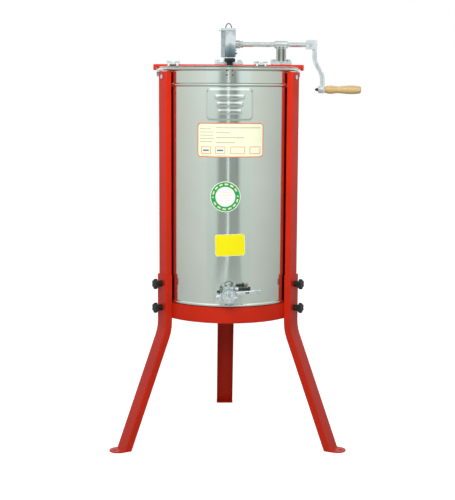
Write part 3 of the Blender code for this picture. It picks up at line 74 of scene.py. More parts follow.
# Shader maths on sockets, and one method for every other node
class Value:
    def __init__(self, finish, socket):
        self.finish = finish
        self.socket = socket

    def maths(self, operation, first, second):
        made = self.finish.node("Math", {"operation": operation}, {0: first, 1: second})
        return Value(self.finish, made.outputs[0])

    def __add__(self, other):
        return self.maths("ADD", self, other)

    __radd__ = __add__

    def __sub__(self, other):
        return self.maths("SUBTRACT", self, other)

    def __rsub__(self, other):
        return self.maths("SUBTRACT", other, self)

    def __mul__(self, other):
        return self.maths("MULTIPLY", self, other)

    __rmul__ = __mul__

    def __truediv__(self, other):
        return self.maths("DIVIDE", self, other)

    def __rtruediv__(self, other):
        return self.maths("DIVIDE", other, self)

    def __pow__(self, other):
        return self.maths("POWER", self, other)

    def __abs__(self):
        return self.maths("ABSOLUTE", self, 0)

    def above(self, edge):
        return self.maths("GREATER_THAN", self, edge)

    def least(self, other):
        return self.maths("MINIMUM", self, other)

    def most(self, other):
        return self.maths("MAXIMUM", self, other)

    def share(self):
        # held between 0 and 1
        return self.least(1).most(0)

    def climb(self, start, over):
        # 0 as far as start, and 1 from start + over
        return ((self - start) / over).share()

    def peak(self, middle, half):
        # 1 at the middle, and 0 from half away
        return (1 - abs(self - middle) / half).most(0)


class Finish:
    def __init__(self, name, tree=None):
        if tree is None:
            self.material = bpy.data.materials.new(name)
            self.material.use_nodes = True
            tree = self.material.node_tree
            self.shader = tree.nodes["Principled BSDF"]
        self.tree = tree

    def feed(self, socket, value):
        if isinstance(value, Value):
            value = value.socket
        if isinstance(value, bpy.types.NodeSocket):
            self.tree.links.new(value, socket)
        else:
            socket.default_value = value

    def node(self, kind, settings, sockets):
        made = self.tree.nodes.new("ShaderNode" + kind)
        for key, value in settings.items():
            if key == "stops":
                self.stops(made.color_ramp, value)
            else:
                setattr(made, key, value)
        for key, value in sockets.items():
            self.feed(made.inputs[key], value)
        return made

    def stops(self, ramp, stops):
        while len(ramp.elements) < len(stops):
            ramp.elements.new(1)
        for element, (place, colour) in zip(ramp.elements, stops):
            element.position = place
            element.color = (*colour, 1)

    def spot(self, space="Object"):
        # the x, y and z of where a surface is, or of a ray's direction in the world
        coords = self.node("TexCoord", {}, {})
        split = self.node("SeparateXYZ", {}, {0: coords.outputs[space]})
        return [Value(self, socket) for socket in split.outputs]

    def far(self, x, z):
        # how far a point is from a line that runs from front to back
        across, _, height = self.spot()
        across, height = across - x, height - z
        return (across * across + height * height) ** 0.5

    def noise(self, size, detail, roughness=0.5, stretch=(1, 1, 1)):
        coords = self.node("TexCoord", {}, {})
        place = self.node("Mapping", {}, {"Vector": coords.outputs["Object"], "Scale": stretch}).outputs[0]
        sockets = {"Vector": place, "Scale": 1 / size, "Detail": detail, "Roughness": roughness}
        return Value(self, self.node("TexNoise", {}, sockets).outputs["Fac"])

    def ramp(self, value, *stops):
        return self.node("ValToRGB", {"stops": stops}, {"Fac": value}).outputs["Color"]

    def mottle(self, value, colour, dark, pale, end=0.7):
        # one colour, from a darker tint of it to a paler one
        return self.ramp(value, (0.3, tinted(colour, dark)), (end, tinted(colour, pale)))

    def blend(self, share, first, second, how="MIX"):
        settings = {"data_type": "RGBA", "blend_type": how}
        return self.node("Mix", settings, {"Factor": share, 6: first, 7: second}).outputs[2]

    def bump(self, height, depth, strength):
        sockets = {"Height": height, "Distance": depth, "Strength": strength}
        return self.node("Bump", {}, sockets).outputs["Normal"]

    def surface(self, **sockets):
        for name, value in sockets.items():
            self.feed(self.shader.inputs[spaced(name)], value)
        return self.material

    def metal(self, tone, roughness, grain, depth, strength, metallic=1.0):
        normal = self.bump(grain, depth, strength)
        return self.surface(baseColor=tone, metallic=metallic, roughness=roughness, normal=normal)

    def show(self, shader):
        self.feed(self.tree.nodes["Material Output"].inputs["Surface"], shader.outputs[0])
        return self.material


def spaced(name):
    # baseColor is the socket Base Color
    words = "".join(" " + letter if letter.isupper() else letter for letter in name).split()
    return " ".join(word.capitalize() for word in words).replace("Ior", "IOR")


def tinted(colour, share):
    return tuple(min(1, part * share) for part in colour)


def bands(value, rows):
    # each row is a place, how far it reaches to each side, and how strong it is
    return sum(strength * value.peak(place, half) for place, half, strength in rows).least(1)


# Finishes
paint = {
    "colour": (0.71, 0.0225, 0.0046), "roughness": 0.40, "peel": 0.0016, "shine": 0.17,
    # the stops of the painted shade that darkens the paint towards the floor
    "worn": ((0.30, (0.69, 0.77, 0.73)), (0.62, (0.90, 0.92, 0.92)), (0.95, (1, 1, 1))),
}
sheet = {
    "colour": (0.600, 0.655, 0.590), "roughness": 0.125, "cloud": 0.11, "lines": 0.0009,
    # the colour of the painted shade in the drum's folds
    "creaseShade": (0.06, 0.06, 0.06, 1), "barrel": (0.84, 0.88, 0.88, 1), "barrelHalf": 0.0305,
}
zinc = {"colour": (0.78, 0.83, 0.84), "pale": (0.86, 0.87, 0.82), "roughness": 0.20, "spangle": 0.012}
casting = {"colour": (0.82, 0.85, 0.83), "roughness": 0.34, "grain": 0.0011, "pits": 0.016}
nickel = {
    "tones": ((0.28, (0.58, 0.66, 0.66)), (0.55, (0.80, 0.88, 0.87)), (0.75, (0.87, 0.94, 0.93))),
    "stainAndShade": 0.006, "roughness": 0.12, "dirt": (0.10, 0.14, 0.15, 1),
}
gearCase = {
    "tones": (
        (0.05, (0.11, 0.16, 0.17)), (0.30, (0.20, 0.28, 0.29)), (0.47, (0.42, 0.50, 0.52)),
        (0.60, (0.86, 0.89, 0.88)), (0.86, (0.84, 0.87, 0.86)), (0.97, (0.62, 0.66, 0.66)),
    ),
    "lidTones": ((0.3, (0.66, 0.70, 0.68)), (0.68, (0.86, 0.89, 0.87))),
    "cloud": 0.012, "droop": 0.7, "uneven": 0.014, "eyeFrom": 0.0072, "eye": (0.17, 0.20, 0.19, 1),
}
column = {
    "foot": 0.009, "head": 0.021, "soft": 0.002, "hollowAt": 0.0060, "hollowHalf": 0.0030,
    # the brown tone is painted shade for the hollows between the ribs
    "dull": (0.50, 0.49, 0.40, 1), "hollowShade": (0.16, 0.14, 0.10, 1),
}
blackKnob = {"colour": (0.0045, 0.0085, 0.0085), "roughness": 0.36, "grain": 0.0006, "shine": 0.32}
beech = {
    "dark": (0.47, 0.29, 0.10), "light": (0.66, 0.48, 0.22), "pale": (0.72, 0.56, 0.30),
    "fleck": (0.36, 0.19, 0.06, 1), "ring": 0.0042, "pore": 0.0012, "roughness": 0.42, "coat": 0.25,
}


def paintFinish():
    f = Finish("redPaint")
    wide = f.noise(0.09, 3)
    dust = f.noise(0.006, 4, 0.7)
    tone = f.mottle(wide, paint["colour"], 0.93, 1.06)
    # painted shade: paler above, and duller towards the floor
    worn = f.ramp(f.spot()[2] + 0.08 * (wide - 0.5), *paint["worn"])
    return f.surface(
        baseColor=f.blend(1, tone, worn, "MULTIPLY"),
        roughness=paint["roughness"] - 0.05 + 0.10 * dust,
        normal=f.bump(f.noise(paint["peel"], 2), 0.00006, 0.5),
        specularIorLevel=paint["shine"],
    )


def sheetFinish(name="rolledSteel", creases=(), barrels=None):
    f = Finish(name)
    cloud = f.noise(sheet["cloud"], 4, 0.6)
    lines = f.noise(sheet["lines"], 2, 0.6, (0.06, 0.06, 1))
    tone = f.mottle(cloud, sheet["colour"], 0.965, 1.03)
    if creases:
        # painted shade in the folds at these heights
        dirt = bands(f.spot()[2], creases)
        tone = f.blend(dirt * (0.6 + 0.4 * cloud), tone, sheet["creaseShade"])
    zincShare = 0
    if barrels:
        # the hinge barrels that stand on a lid beside the bar are zinc plated
        _, back, height = f.spot()
        beside = sheet["barrelHalf"] - abs(back - axis.y)
        zincShare = (height - barrels).least(beside).climb(0, 0.0004)
        tone = f.blend(zincShare, tone, sheet["barrel"])
    roughness = sheet["roughness"] - 0.03 + 0.06 * cloud + 0.03 * lines
    return f.metal(tone, roughness, lines, 0.00002, 0.35, 1 - 0.45 * zincShare)


def zincFinish():
    f = Finish("zincPlate")
    spangle = f.noise(zinc["spangle"], 5, 0.7)
    colour = zinc["colour"]
    tone = f.ramp(spangle, (0.25, tinted(colour, 0.86)), (0.5, colour), (0.75, zinc["pale"]))
    return f.metal(tone, zinc["roughness"] - 0.05 + 0.10 * spangle, f.noise(0.0008, 2), 0.00004, 0.4)


def castFinish():
    f = Finish("castAluminium")
    wide = f.noise(0.02, 4, 0.65)
    grain = f.noise(casting["grain"], 3, 0.6)
    tone = f.mottle(wide, casting["colour"], 0.86, 1.04, 0.68)
    return f.metal(tone, casting["roughness"] - 0.06 + 0.12 * wide, grain, 0.00012, 0.5)


def platedFinish(name, centre, grooves):
    # nickel plate: bright, with faint stains, and darker in the round grooves about a centre
    f = Finish(name)
    stainAndShade = f.noise(nickel["stainAndShade"], 4, 0.65)
    tone = f.blend(bands(f.far(*centre), grooves), f.ramp(stainAndShade, *nickel["tones"]), nickel["dirt"])
    return f.metal(tone, nickel["roughness"] + 0.12 * stainAndShade, f.noise(0.0016, 3), 0.00005, 0.4)


def dullCasting(name, dark, pale, roughness, shadeMarks=None):
    # a sand casting that has gone dull, darker in its pits, and with painted shade added by the function it
    # is given
    f = Finish(name)
    grain = f.noise(casting["grain"], 3, 0.6)
    wide = f.noise(casting["pits"], 4, 0.65)
    tone = f.ramp(wide * 0.7 + grain * 0.3, (0.32, dark), (0.60, pale))
    if shadeMarks:
        tone = shadeMarks(f, tone)
    return f.metal(tone, roughness + 0.14 * wide, grain, 0.00014, 0.6)


def columnShade(f, tone):
    # painted shade, brown, in the hollows between the column's ribs; the column is bright at its foot and
    # head
    low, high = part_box("crank_support")
    across, _, height = f.spot()
    above, under = height - low.z - column["foot"], high.z - column["head"] - height
    level = above.least(under).climb(0, column["soft"])
    out = abs(across - (low.x + high.x) / 2)
    hollow = (1.4 - abs(out - column["hollowAt"]) / column["hollowHalf"]).share()
    return f.blend(level * hollow * 0.88, f.blend(level * 0.55, tone, column["dull"]), column["hollowShade"])


def caseFinish():
    # painted reflection: the case is bright above, and dull and blue below, with an uneven edge between
    f = Finish("gearCase")
    low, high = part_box("gearbox_case")
    wide = f.noise(gearCase["cloud"], 4, 0.6)
    grain = f.noise(casting["grain"], 3, 0.6)
    across, _, height = f.spot()
    out = abs(across - (low.x + high.x) / 2)
    edge = out * gearCase["droop"] + height + (wide - 0.5) * gearCase["uneven"]
    tone = f.ramp(edge.climb(low.z, high.z - low.z), *gearCase["tones"])
    return f.metal(tone, 0.24 + 0.14 * wide, grain, 0.00010, 0.5)


def eyeFinish():
    # the case's lid, whose wire eye is dark
    f = Finish("caseLid")
    wide = f.noise(gearCase["cloud"], 4, 0.6)
    grain = f.noise(casting["grain"], 3, 0.6)
    eye = f.spot()[2].climb(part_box("gearbox_lid")[0].z + gearCase["eyeFrom"], 0.0006)
    tone = f.blend(eye, f.ramp(wide, *gearCase["lidTones"]), gearCase["eye"])
    return f.metal(tone, 0.28 + 0.12 * wide, grain, 0.00010, 0.5)


def brightZinc():
    # passivated zinc, half matt
    f = Finish("brightZinc")
    spangle = f.noise(0.008, 4, 0.7)
    tone = f.ramp(spangle, (0.3, (0.70, 0.75, 0.75)), (0.7, (0.86, 0.89, 0.88)))
    return f.metal(tone, 0.30 + 0.10 * spangle, spangle, 0.00004, 0.4, 0.55)


def knobFinish():
    f = Finish("mouldedBlack")
    wide = f.noise(0.01, 3)
    return f.surface(
        baseColor=f.mottle(wide, blackKnob["colour"], 1, 1.7),
        roughness=blackKnob["roughness"] + 0.08 * wide,
        normal=f.bump(f.noise(blackKnob["grain"], 2), 0.00005, 0.5),
        specularIorLevel=blackKnob["shine"],
    )


def woodFinish():
    f = Finish("turnedBeech")
    warp = f.noise(0.03, 3, 0.5, (0.25, 1, 1))
    rings = f.noise(beech["ring"], 3, 0.6, (0.05, 1, 1))
    pores = f.noise(beech["pore"], 2, 0.5, (0.08, 1, 1))
    tones = ((0.3, beech["dark"]), (0.52, beech["light"]), (0.75, beech["pale"]))
    tone = f.ramp(rings * 0.7 + warp * 0.5 - 0.1, *tones)
    return f.surface(
        baseColor=f.blend(pores.above(0.63) * 0.35, tone, beech["fleck"]),
        roughness=beech["roughness"] + 0.14 * pores,
        normal=f.bump(rings + pores * 0.5, 0.00018, 0.4),
        coatWeight=beech["coat"],
    )


def plainMetal(name, colour, roughness):
    f = Finish(name)
    wide = f.noise(0.01, 4, 0.6)
    tone = f.mottle(wide, colour, 0.75, 1.2)
    return f.metal(tone, roughness - 0.05 + 0.12 * wide, f.noise(0.0007, 2), 0.00005, 0.4)


def rubberFinish():
    f = Finish("blackRubber")
    grain = f.noise(0.0008, 3)
    tone = f.ramp(grain, (0.3, (0.015, 0.015, 0.015)), (0.7, (0.035, 0.035, 0.035)))
    return f.surface(baseColor=tone, roughness=0.75 + 0.1 * grain, normal=f.bump(grain, 0.0001, 0.5))


finishes = {
    "red_paint": paintFinish(),
    "stainless": sheetFinish(),
    "zinc_steel": zincFinish(),
    "cast_aluminium": castFinish(),
    "gear_steel": plainMetal("gearSteel", (0.36, 0.37, 0.38), 0.36),
    "bronze": plainMetal("bearingBronze", (0.55, 0.38, 0.18), 0.36),
    "black_plastic": knobFinish(),
    "black_rubber": rubberFinish(),
    "turned_wood": woodFinish(),
    "dark_steel": plainMetal("blackenedSteel", (0.07, 0.07, 0.075), 0.4),
}
rusted = plainMetal("rustedRivet", (0.16, 0.085, 0.05), 0.5)
slotOf = {entry["node"]: entry["material_slot"] for entry in frame["record"]["subparts"]}
for name, node in frame["nodes"].items():
    node.data.materials.clear()
    node.data.materials.append(finishes[slotOf[name]])
print("finishes made")


# Mesh helpers
def linked(name, data):
    made = bpy.data.objects.new(name, data)
    bpy.context.scene.collection.objects.link(made)
    return made


def meshOf(name, bm):
    mesh = bpy.data.meshes.new(name)
    bm.to_mesh(mesh)
    bm.free()
    return mesh


def smoothed(mesh, sharp):
    mesh.shade_smooth()
    mesh.set_sharp_from_angle(angle=math.radians(sharp))


def solid(name, bm, body, slot, replaced=(), finish=None, sharp=32):
    bmesh.ops.recalc_face_normals(bm, faces=bm.faces)
    made = linked(name, meshOf(name, bm))
    smoothed(made.data, sharp)
    made.data.materials.append(finish or finishes[slot])
    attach(made, body)
    if replaced:
        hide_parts(*replaced)
    return made


def skin(rings, closed=False, caps=True):
    bm = bmesh.new()
    made = [[bm.verts.new(point) for point in ring] for ring in rings]
    pairs = list(zip(made, made[1:])) + ([(made[-1], made[0])] if closed else [])
    for low, high in pairs:
        count = max(len(low), len(high))
        for i in range(count):
            j = (i + 1) % count
            corners = (low[i % len(low)], low[j % len(low)], high[j % len(high)], high[i % len(high)])
            bm.faces.new(list(dict.fromkeys(corners)))
    if caps and not closed:
        for ring in (made[0], made[-1]):
            if len(ring) > 2:
                bm.faces.new(ring)
    return bm


def around(radius, height, sides=48):
    turns = [2 * math.pi * i / sides for i in range(sides)]
    return [(radius * math.cos(t), radius * math.sin(t), height) for t in turns]


def turned(profile, sides=48, closed=False):
    rings = [around(radius, height, sides) if radius else [(0, 0, height)] for radius, height in profile]
    return skin(rings, closed, caps=False)


def rod(radius, low, high, sides):
    return turned([(0, low), (radius, low), (radius, high), (0, high)], sides)


def peg(radius, straight, length, sides):
    # stands on Z = 0, with its end's edge taken off
    return turned([(radius, 0), (radius, straight), (radius - 0.0006, length), (0, length)], sides)


def at(x, y, z):
    return Matrix.Translation((x, y, z))


def spun(turn, about):
    return Matrix.Rotation(turn, 4, about)


def shifted(bm, *matrices):
    for matrix in matrices:
        bmesh.ops.transform(bm, matrix=matrix, verts=bm.verts)
    return bm


def alongX(bm, y, z):
    return shifted(bm, spun(quarter, "Y"), at(0, y, z))


def merged(*parts):
    whole = bmesh.new()
    for part in parts:
        mesh = meshOf("part", part)
        whole.from_mesh(mesh)
        bpy.data.meshes.remove(mesh)
    return whole


def box(low, high, edge, steps=1):
    bm = bmesh.new()
    low, high = Vector(low), Vector(high)
    bmesh.ops.create_cube(bm, size=1, matrix=at(*(low + high) / 2) @ Matrix.Diagonal((*(high - low), 1)))
    bmesh.ops.bevel(bm, geom=bm.edges, offset=edge, segments=steps, profile=0.5, affect="EDGES")
    return bm


def bend(centre, radius, start, end, steps):
    turns = [math.radians(start + (end - start) * i / steps) for i in range(steps + 1)]
    return [(centre[0] + radius * math.cos(t), centre[1] + radius * math.sin(t)) for t in turns]


softEdge = {"join": 2e-6, "flat": 0.6, "sharp": 40, "steps": 2}


def softened(node, width, finish=None):
    # the node's own solid with its edges broken, as paint, casting or a press leaves them
    bm = bmesh.new()
    bm.from_mesh(frame["nodes"][node].data)
    bmesh.ops.remove_doubles(bm, verts=bm.verts, dist=softEdge["join"])
    bmesh.ops.dissolve_limit(bm, angle_limit=math.radians(softEdge["flat"]), verts=bm.verts, edges=bm.edges)
    made = solid(node + "_soft", bm, frame["nodes"][node]["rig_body"], slotOf[node], (node,), finish)
    edges = made.modifiers.new("edges", "BEVEL")
    edges.width = width
    edges.segments = softEdge["steps"]
    edges.limit_method = "ANGLE"
    edges.angle_limit = math.radians(softEdge["sharp"])
    edges.harden_normals = False
    made.modifiers.new("normals", "WEIGHTED_NORMAL").keep_sharp = True


def hexRing(apothem, height, cap=1.0):
    # a hexagon whose corners a cone has cut back to cap times the apothem's circle
    ring = []
    for i in range(48):
        turn = 2 * math.pi * i / 48
        inside = (turn + math.pi / 6) % (math.pi / 3) - math.pi / 6
        radius = min(apothem / math.cos(inside), apothem * cap)
        ring.append((radius * math.cos(turn), radius * math.sin(turn), height))
    return ring


def hexHead(across, height, washer=0.0):
    # stands on Z = 0
    half = across / 2
    rings = [hexRing(half, 0, 2), hexRing(half, height * 0.82, 2), hexRing(half, height)]
    rings.append([(x * 0.9, y * 0.9, height) for x, y, _ in rings[-1]])
    head = skin(rings)
    if not washer:
        return head
    rim = across * 0.92
    return merged(head, turned([(0, -washer), (rim, -washer), (rim, 0), (0, 0)]))


# Drum
drum = {
    "radius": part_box("support_hoop")[1].x - axis.x - 0.0033,
    "wall": 0.001,
    "rimTop": drumHigh.z,
    "rimReach": 0.0122,
    "rimHeight": 0.0112,
    "roll": 0.0040,
    "lip": 0.0014,
    "upperBead": 0.0470,
    "beadRises": (0.003, 0.0023),
    "beadHalf": 0.0045,
    "outletHole": 0.0165,
    # painted shade: a dark line along the rim's top, and faint ones beside each bead, each a half width and a
    # strength
    "rimShade": (0.0040, 1.4),
    "beadShade": (0.0011, 0.24),
    "sides": 192,
}


def beadCurve(centre, rise, radius):
    # plain wall just beyond each end keeps the wall's shading straight
    half, steps = drum["beadHalf"], 8
    points = [(radius, centre - half - 0.0006)]
    for i in range(steps + 1):
        along = 2 * i / steps - 1
        points.append((radius + rise * abs(math.cos(along * quarter)) ** 0.8, centre + along * half))
    return points + [(radius, centre + half + 0.0006)]


def makeDrum():
    radius, top, roll = drum["radius"], drum["rimTop"], drum["roll"]
    inner = radius - drum["wall"]
    lower = hoopHigh.z + 0.0003 + drum["beadHalf"]
    upper = top - drum["upperBead"]
    flare = top - drum["rimHeight"]
    upperRise, lowerRise = drum["beadRises"]
    # the wall turns out into a roll, with a thin lip upright on it
    middle, level = radius + drum["rimReach"] - roll, top - drum["lip"] - roll
    rim = [(radius + 0.0004, flare + 0.0008), (radius + 0.0014, flare + 0.0016)]
    rim += bend((middle, level), roll, -96, 72, 14)
    rim += [(middle + 0.0002, top - 0.0003), (middle - 0.0004, top), (middle - 0.0012, top - 0.0003)]
    rim += bend((middle, level), roll - 0.0008, 130, 170, 4)
    outside = [(radius, drumLow.z)] + beadCurve(lower, lowerRise, radius)
    outside += beadCurve(upper, upperRise, radius) + [(radius, flare - 0.0008), (radius, flare)] + rim
    inside = [(inner, flare + 0.001)] + beadCurve(upper, upperRise, inner)[::-1]
    inside += beadCurve(lower, lowerRise, inner)[::-1] + [(inner, drumLow.z)]
    shell = shifted(turned(outside + inside, drum["sides"], closed=True), toAxis)
    ends = [bead + side * drum["beadHalf"] for bead in (lower, upper) for side in (-1, 1)]
    # painted shade on the rim's top and beside each bead
    creases = [(top - 0.0002, *drum["rimShade"])] + [(end, *drum["beadShade"]) for end in ends]
    steel = sheetFinish("drumSteel", creases)
    made = solid("drumSkin", shell, "frame", "stainless", ("drum_shell",), steel, sharp=50)
    hole = rod(drum["outletHole"], radius - 0.02, radius + 0.01, 48)
    cutBy(made, shifted(hole, spun(quarter, "X"), at(0, 0, gate["outlet"]), toAxis))


def cutBy(made, bm):
    bmesh.ops.recalc_face_normals(bm, faces=bm.faces)
    cutter = linked("cutter", meshOf("cutter", bm))
    modifier = made.modifiers.new("cut", "BOOLEAN")
    modifier.operation = "DIFFERENCE"
    modifier.object = cutter
    evaluated = made.evaluated_get(bpy.context.evaluated_depsgraph_get())
    result = bpy.data.meshes.new_from_object(evaluated)
    made.modifiers.clear()
    made.data = result
    smoothed(result, 50)
    bpy.data.objects.remove(cutter)


def makeHoop():
    # a flat band with round edges
    outer, edge = hoopHigh.x - axis.x, 0.0009
    left, right, low, high = outer - 0.003 + edge, outer - edge, hoopLow.z + edge, hoopHigh.z - edge
    corners = ((left, low, 180), (right, low, 270), (right, high, 0), (left, high, 90))
    profile = [point for x, y, start in corners for point in bend((x, y), edge, start, start + 90, 4)]
    ring = shifted(turned(profile, drum["sides"], closed=True), toAxis)
    solid("hoopBand", ring, "frame", "red_paint", ("support_hoop",))


def onDrum(bm, lift=0.0):
    # bends flat work, laid out as (across, height, thickness), round the front of the drum
    for vertex in bm.verts:
        turn = vertex.co.x / drum["radius"] - quarter
        reach = drum["radius"] + lift + vertex.co.z
        vertex.co = axis + Vector((reach * math.cos(turn), reach * math.sin(turn), vertex.co.y))
    return bm


# Stickers, each a film or two of plain colour
film = {"lift": 0.00012, "thick": 0.0001}
prints = {
    "cream": (0.88, 0.90, 0.66), "orange": (0.70, 0.19, 0.05), "olive": (0.34, 0.36, 0.13),
    "blue": (0.07, 0.10, 0.36), "green": (0.016, 0.36, 0.075), "white": (0.86, 0.87, 0.86),
    "yellow": (0.86, 0.78, 0.0), "tick": (0.86, 0.74, 0.50),
}
card = {
    "left": -0.0865, "right": 0.0925, "low": 0.7960, "high": 0.8855, "corner": 0.0095, "edge": 0.0024,
    # how far in, how far down, the step down, how thick, the corner, and the lengths
    "ruled": (
        (0.007, 0.0150, 0.0083, 0.0012, 0.0005, (0.030, 0.038, 0.036, 0.038, 0.034)),
        (0.051, 0.0118, 0.0128, 0.0015, 0.0006, (0.120, 0.036, 0.074, 0.050)),
    ),
    "boxes": ((0.011, 0.026), (0.049, 0.026), (0.089, 0.038), (0.140, 0.030)),
    "boxLow": 0.0090, "boxHigh": 0.0280, "boxCorner": 0.0030, "boxLine": 0.0013,
}
disc = {
    "across": -0.0103, "height": 0.6930, "radius": 0.0405, "ringOut": 0.0385, "ringIn": 0.0262,
    "ticks": 14, "tickOut": 0.0347, "tickIn": 0.0308, "gapEvery": 7,
}
patch = {
    "left": -0.0370, "right": 0.0425, "low": 0.5362, "high": 0.5938,
    "corner": 0.0068, "edge": 0.0009, "tilt": 2.4,
}


def printFinish(name, colour):
    # coloured vinyl: slightly uneven ink over a smooth film
    f = Finish(name)
    ink = f.noise(0.004, 4, 0.65)
    fade = f.noise(0.05, 2)
    return f.surface(
        baseColor=f.mottle(ink * 0.6 + fade * 0.4, colour, 0.94, 1.03),
        roughness=0.34 + 0.08 * ink,
        specularIorLevel=0.22,
        normal=f.bump(fade, 0.0002, 0.3),
    )


inks = {name: printFinish(name + "Print", colour) for name, colour in prints.items()}


def printed(name, bm, ink, layer):
    wrapped = onDrum(bm, film["lift"] + layer * film["thick"])
    solid(name, wrapped, "frame", "stainless", finish=inks[ink], sharp=60)


def plate(left, right, low, high, corner):
    # a film with round corners, as a row of columns
    curve = [corner * (1 - math.cos(quarter * i / 6)) for i in range(7)]
    steps = max(1, round((right - left - 2 * corner) / 0.004))
    middle = [left + corner + (right - left - 2 * corner) * i / steps for i in range(1, steps)]
    rings = []
    for x in [left + inset for inset in curve] + middle + [right - inset for inset in curve[::-1]]:
        inset = corner - min(x - left, right - x, corner)
        drop = corner - math.sqrt(max(corner * corner - inset * inset, 0))
        bottom, top, thick = low + drop, high - drop, film["thick"]
        rings.append([(x, bottom, 0), (x, top, 0), (x, top, thick), (x, bottom, thick)])
    return skin(rings)


def sticker(c, edge=0.0):
    # a sticker's whole sheet, or what its border leaves of it
    return plate(c["left"] + edge, c["right"] - edge, c["low"] + edge, c["high"] - edge, c["corner"] - edge)


def band(left, right, low, high, corner, width):
    # a thin printed frame: four strips with square ends
    return merged(
        plate(left, right, high - width, high, corner),
        plate(left, right, low, low + width, corner),
        plate(left, left + width, low + width, high - width, 0.00005),
        plate(right - width, right, low + width, high - width, 0.00005),
    )


def ringPlate(outer, inner, start=0.0, sweep=2 * math.pi, steps=72):
    # a flat ring about the disc's centre, or part of one
    whole = sweep > 6.28
    rings = []
    for i in range(steps if whole else steps + 1):
        turn = start + sweep * i / steps
        c, s = math.cos(turn), math.sin(turn)
        ends = ((outer, 0), (outer, film["thick"]), (inner, film["thick"]), (inner, 0))
        rings.append([(disc["across"] + r * c, disc["height"] + r * s, z) for r, z in ends])
    return skin(rings, closed=whole)


def makeCard():
    printed("cardEdge", sticker(card), "orange", 0)
    printed("cardFace", sticker(card, card["edge"]), "cream", 1)
    # ruled lines of a blank form: a narrow column, then a wide one, and two under the boxes
    left, low = card["left"], card["low"]
    rules = []
    for inset, down, step, thick, corner, lengths in card["ruled"]:
        for i, length in enumerate(lengths):
            top = card["high"] - down - step * i
            rules.append(plate(left + inset, left + inset + length, top - thick, top, corner))
    short = [left + inset for inset, _ in card["boxes"][:2]]
    rules += [plate(x, x + 0.028, low + 0.0050, low + 0.0057, 0.0003) for x in short]
    printed("cardRules", merged(*rules), "olive", 2)
    # four empty boxes under them, two with a short bar
    boxes = []
    for inset, width in card["boxes"]:
        sides = (left + inset, left + inset + width, low + card["boxLow"], low + card["boxHigh"])
        boxes.append(band(*sides, card["boxCorner"], card["boxLine"]))
    printed("cardBoxes", merged(*boxes), "orange", 2)
    bars = [plate(x + 0.005, x + 0.021, low + 0.0165, low + 0.0200, 0.0008) for x in short]
    printed("cardBars", merged(*bars), "blue", 3)


def makeDisc():
    x, y, radius = disc["across"], disc["height"], disc["radius"]
    printed("discFilm", plate(x - radius, x + radius, y - radius, y + radius, radius - 0.00005), "white", 0)
    printed("discRing", ringPlate(disc["ringOut"], disc["ringIn"]), "green", 1)
    ticks = []
    sweep = 2 * math.pi / disc["ticks"]
    for i in range(disc["ticks"]):
        share = 0.62 if i % disc["gapEvery"] else 0.22
        ticks.append(ringPlate(disc["tickOut"], disc["tickIn"], sweep * i, sweep * share, 6))
    printed("discTicks", merged(*ticks), "tick", 2)
    rules = []
    for i in range(4):
        half, low = 0.016 - 0.003 * (i % 2), y - 0.0115 + 0.0072 * i
        rules.append(plate(x - half, x + half, low, low + 0.0014, 0.0005))
    printed("discRules", merged(*rules), "tick", 2)


def makePatch():
    middle = Vector(((patch["left"] + patch["right"]) / 2, (patch["low"] + patch["high"]) / 2, 0))
    turn = at(*middle) @ spun(math.radians(patch["tilt"]), "Z") @ at(*-middle)
    printed("patchFilm", shifted(sticker(patch), turn), "white", 0)
    printed("patchFace", shifted(sticker(patch, patch["edge"]), turn), "yellow", 1)


# Pressed panel and rivets
pressing = {
    "left": -0.0620, "right": 0.0615, "low": 0.8920, "high": 0.9745, "corner": 0.012,
    "rise": 0.0019, "slope": 0.0040, "step": 0.0014, "margin": 0.0034,
    "ribs": 3, "ribReach": 0.034, "ribShorter": 0.004, "ribStep": 0.0190,
    "ribRise": 0.0016, "ribHalf": 0.0042,
}
rivet = {
    "profile": ((0.0021, -0.0004), (0.0021, 0.0002), (0.0019, 0.0006), (0.0012, 0.0010), (0, 0.0011)),
    "across": (-0.0079, 0.0069),
    "heights": (1.0089, 1.0203),
}


def eased(value):
    value = min(max(value, 0), 1)
    return value * value * (3 - 2 * value)


def pressedHeight(x, z):
    # a flat raised field with short ribs pressed deeper across it
    p = pressing
    right, up = x - (p["left"] + p["right"]) / 2, z - (p["low"] + p["high"]) / 2
    dx = abs(right) - (p["right"] - p["left"]) / 2 + p["corner"]
    dz = abs(up) - (p["high"] - p["low"]) / 2 + p["corner"]
    inside = p["corner"] - math.hypot(max(dx, 0), max(dz, 0)) - min(max(dx, dz), 0)
    height = p["rise"] * eased(inside / p["slope"])
    for i in range(p["ribs"]):
        along = max(abs(right) - p["ribReach"] + p["ribShorter"] * i, 0)
        across = up + p["ribStep"] * (i - 1)
        height += p["ribRise"] * eased(1.6 - math.hypot(along, across) / p["ribHalf"])
    return height


def makePressing():
    p = pressing
    left, right = p["left"] - p["margin"], p["right"] + p["margin"]
    low, high = p["low"] - p["margin"], p["high"] + p["margin"]
    columns, rows = round((right - left) / p["step"]), round((high - low) / p["step"])
    bm = bmesh.new()
    grid = []
    for i in range(columns + 1):
        x = left + (right - left) * i / columns
        grid.append([])
        for j in range(rows + 1):
            z = low + (high - low) * j / rows
            rim = i in (0, columns) or j in (0, rows)
            grid[i].append(bm.verts.new((x, z, -0.0002 if rim else 0.00006 + pressedHeight(x, z))))
    for i in range(columns):
        for j in range(rows):
            bm.faces.new((grid[i][j], grid[i + 1][j], grid[i + 1][j + 1], grid[i][j + 1]))
    steel = bpy.data.materials["drumSteel"]
    solid("pressedField", onDrum(bm), "frame", "stainless", finish=steel, sharp=60)


def makeRivets():
    places = [at(x, z, 0) for x in rivet["across"] for z in rivet["heights"]]
    heads = [onDrum(shifted(turned(rivet["profile"], 20), place)) for place in places]
    solid("seamRivets", merged(*heads), "frame", "dark_steel", finish=rusted)


